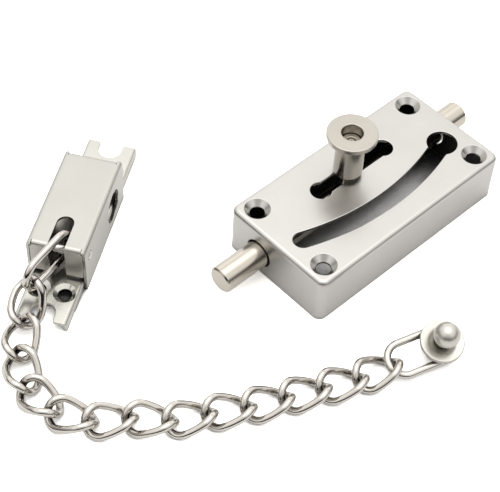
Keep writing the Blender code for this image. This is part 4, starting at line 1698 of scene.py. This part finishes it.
class TableNodes(Nodes):
    """Wires the white table, with painted shade: dark under the shells, and a little darker near the pieces.
    """

    white = 0.86
    exposed_white = 2.0
    reach = 20 * MM

    def inside_box(self, place: bpy.types.NodeSocket, middle: Matrix, half: Vector) -> bpy.types.NodeSocket:
        """Marks a rectangle on the table.

        Args:
            place: The coordinates on the table.
            middle: The rectangle's middle, with its axes.
            half: Half its sides.

        Returns:
            One inside, nought outside.
        """
        moved = self.node("ShaderNodeMapping", vector_type="TEXTURE")
        moved.inputs["Location"].default_value = middle.translation
        moved.inputs["Rotation"].default_value = middle.to_euler()
        moved.inputs["Scale"].default_value = (half.x, half.y, 1.0)
        self.link(place, moved.inputs["Vector"])
        parts = self.node("ShaderNodeSeparateXYZ")
        self.link(moved.outputs[0], parts.inputs[0])
        sides = [self.math("LESS_THAN", self.math("ABSOLUTE", parts.outputs[axis]), 1.0) for axis in "XY"]
        return self.math("MULTIPLY", *sides)

    def under_shells(self) -> bpy.types.NodeSocket:
        """Returns one under the housing and the keeper, and nought elsewhere."""
        place = self.node("ShaderNodeTexCoord").outputs["Object"]
        low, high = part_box("bolt_housing")
        housing = Matrix.Translation(((low + high) / 2).xy.to_3d())
        keeper = Keeper()
        reach = keeper.screw_reach + 1.5 * keeper.screw_hole
        middle = keeper.frame @ Matrix.Translation((0, (keeper.length - reach) / 2, 0))
        half = Vector((keeper.width / 2, (keeper.length + reach) / 2, 0))
        under_housing = self.inside_box(place, housing, (high - low) / 2)
        return self.math("MAXIMUM", under_housing, self.inside_box(place, middle, half))

    def build(self) -> None:
        """Wires the colour, with painted shade from how closed the space round each point is; the camera sees
        it brighter than the pieces do.
        """
        # Painted shade: under the shells the colour follows how closed the space is, and elsewhere it darkens
        # a little near the pieces, most in what the pieces reflect.
        openness = self.openness(self.reach)
        pick = self.node("ShaderNodeMix")
        self.link(self.under_shells(), pick.inputs["Factor"])
        self.link(self.ramp(openness, (0.0, 0.7), (0.62, 1.0), "LINEAR"), pick.inputs["A"])
        self.link(openness, pick.inputs["B"])
        shade = pick.outputs[0]
        white = self.node("ShaderNodeMix")
        self.link(self.node("ShaderNodeLightPath").outputs["Is Camera Ray"], white.inputs["Factor"])
        self.link(self.ramp(shade, (0.1, 0.88), (0.2, self.white)), white.inputs["A"])
        self.link(self.ramp(shade, (0.28, 0.76), (0.03, self.exposed_white)), white.inputs["B"])
        self.tree.nodes.remove(self.tree.nodes["Principled BSDF"])
        shader = self.node("ShaderNodeBsdfDiffuse")
        self.link(white.outputs[0], shader.inputs["Color"])
        self.link(shader.outputs[0], self.tree.nodes["Material Output"].inputs["Surface"])


class SkyMix(Nodes):
    """Adds up soft round patches of light, by direction."""

    def __init__(self, tree: bpy.types.NodeTree, way: bpy.types.NodeSocket) -> None:
        """Starts with no light.

        Args:
            tree: The world's node tree.
            way: The direction looked in.
        """
        super().__init__(tree)
        self.way = way
        self.value: bpy.types.NodeSocket | None = None

    def add_gradient(self, low: float, high: float, dark: float, bright: float) -> None:
        """Adds light that grows from the horizon up.

        Args:
            low: Upward part of the direction where it starts to grow.
            high: The same where it is full.
            dark: Light below.
            bright: Light above.
        """
        parts = self.node("ShaderNodeSeparateXYZ")
        self.link(self.way, parts.inputs[0])
        self.value = self.ramp(parts.outputs[2], (low, high), (dark, bright))

    def total(self) -> bpy.types.NodeSocket:
        """Returns the light, never below a faint glow."""
        return self.math("MAXIMUM", self.value, 0.02)

    def add_patch(self, way: tuple[float, float, float], outer: float, inner: float, strength: float) -> None:
        """Adds a round patch.

        Args:
            way: Direction of its middle.
            outer: Angle in degrees where it starts to show.
            inner: Angle in degrees where it is full.
            strength: Light that it adds. A negative one takes light away.
        """
        dot = self.node("ShaderNodeVectorMath", operation="DOT_PRODUCT")
        self.link(self.way, dot.inputs[0])
        dot.inputs[1].default_value = Vector(way).normalized()
        cosines = (math.cos(math.radians(outer)), math.cos(math.radians(inner)))
        patch = self.ramp(dot.outputs["Value"], cosines, (0.0, strength))
        self.value = self.math("ADD", self.value, patch)


# ---------------------------------------------------------------------------------------------------------


def report(pieces: Iterable[Piece]) -> None:
    """Logs each finished piece."""
    for piece in pieces:
        LOG.info("%s rides on %s: %d faces", piece.obj.name, piece.body, len(piece.obj.data.polygons))


def main() -> None:
    """Builds every piece, then the studio."""
    logging.basicConfig(level=logging.INFO, format="%(name)s: %(message)s")
    Studio().build()
    report([BoltHousing().build()])
    knob = BoltAndKnob()
    report([knob.rod(), knob.sleeve(), knob.stud(), knob.spring()])
    keeper = Keeper()
    report([keeper.cover(), keeper.base(), keeper.pin()])
    chain = Chain()
    button = Button()
    report([chain.keeper_link(keeper), *chain.links(), chain.end_link(button)])
    report(button.build())


if __name__ == "__main__":
    main()
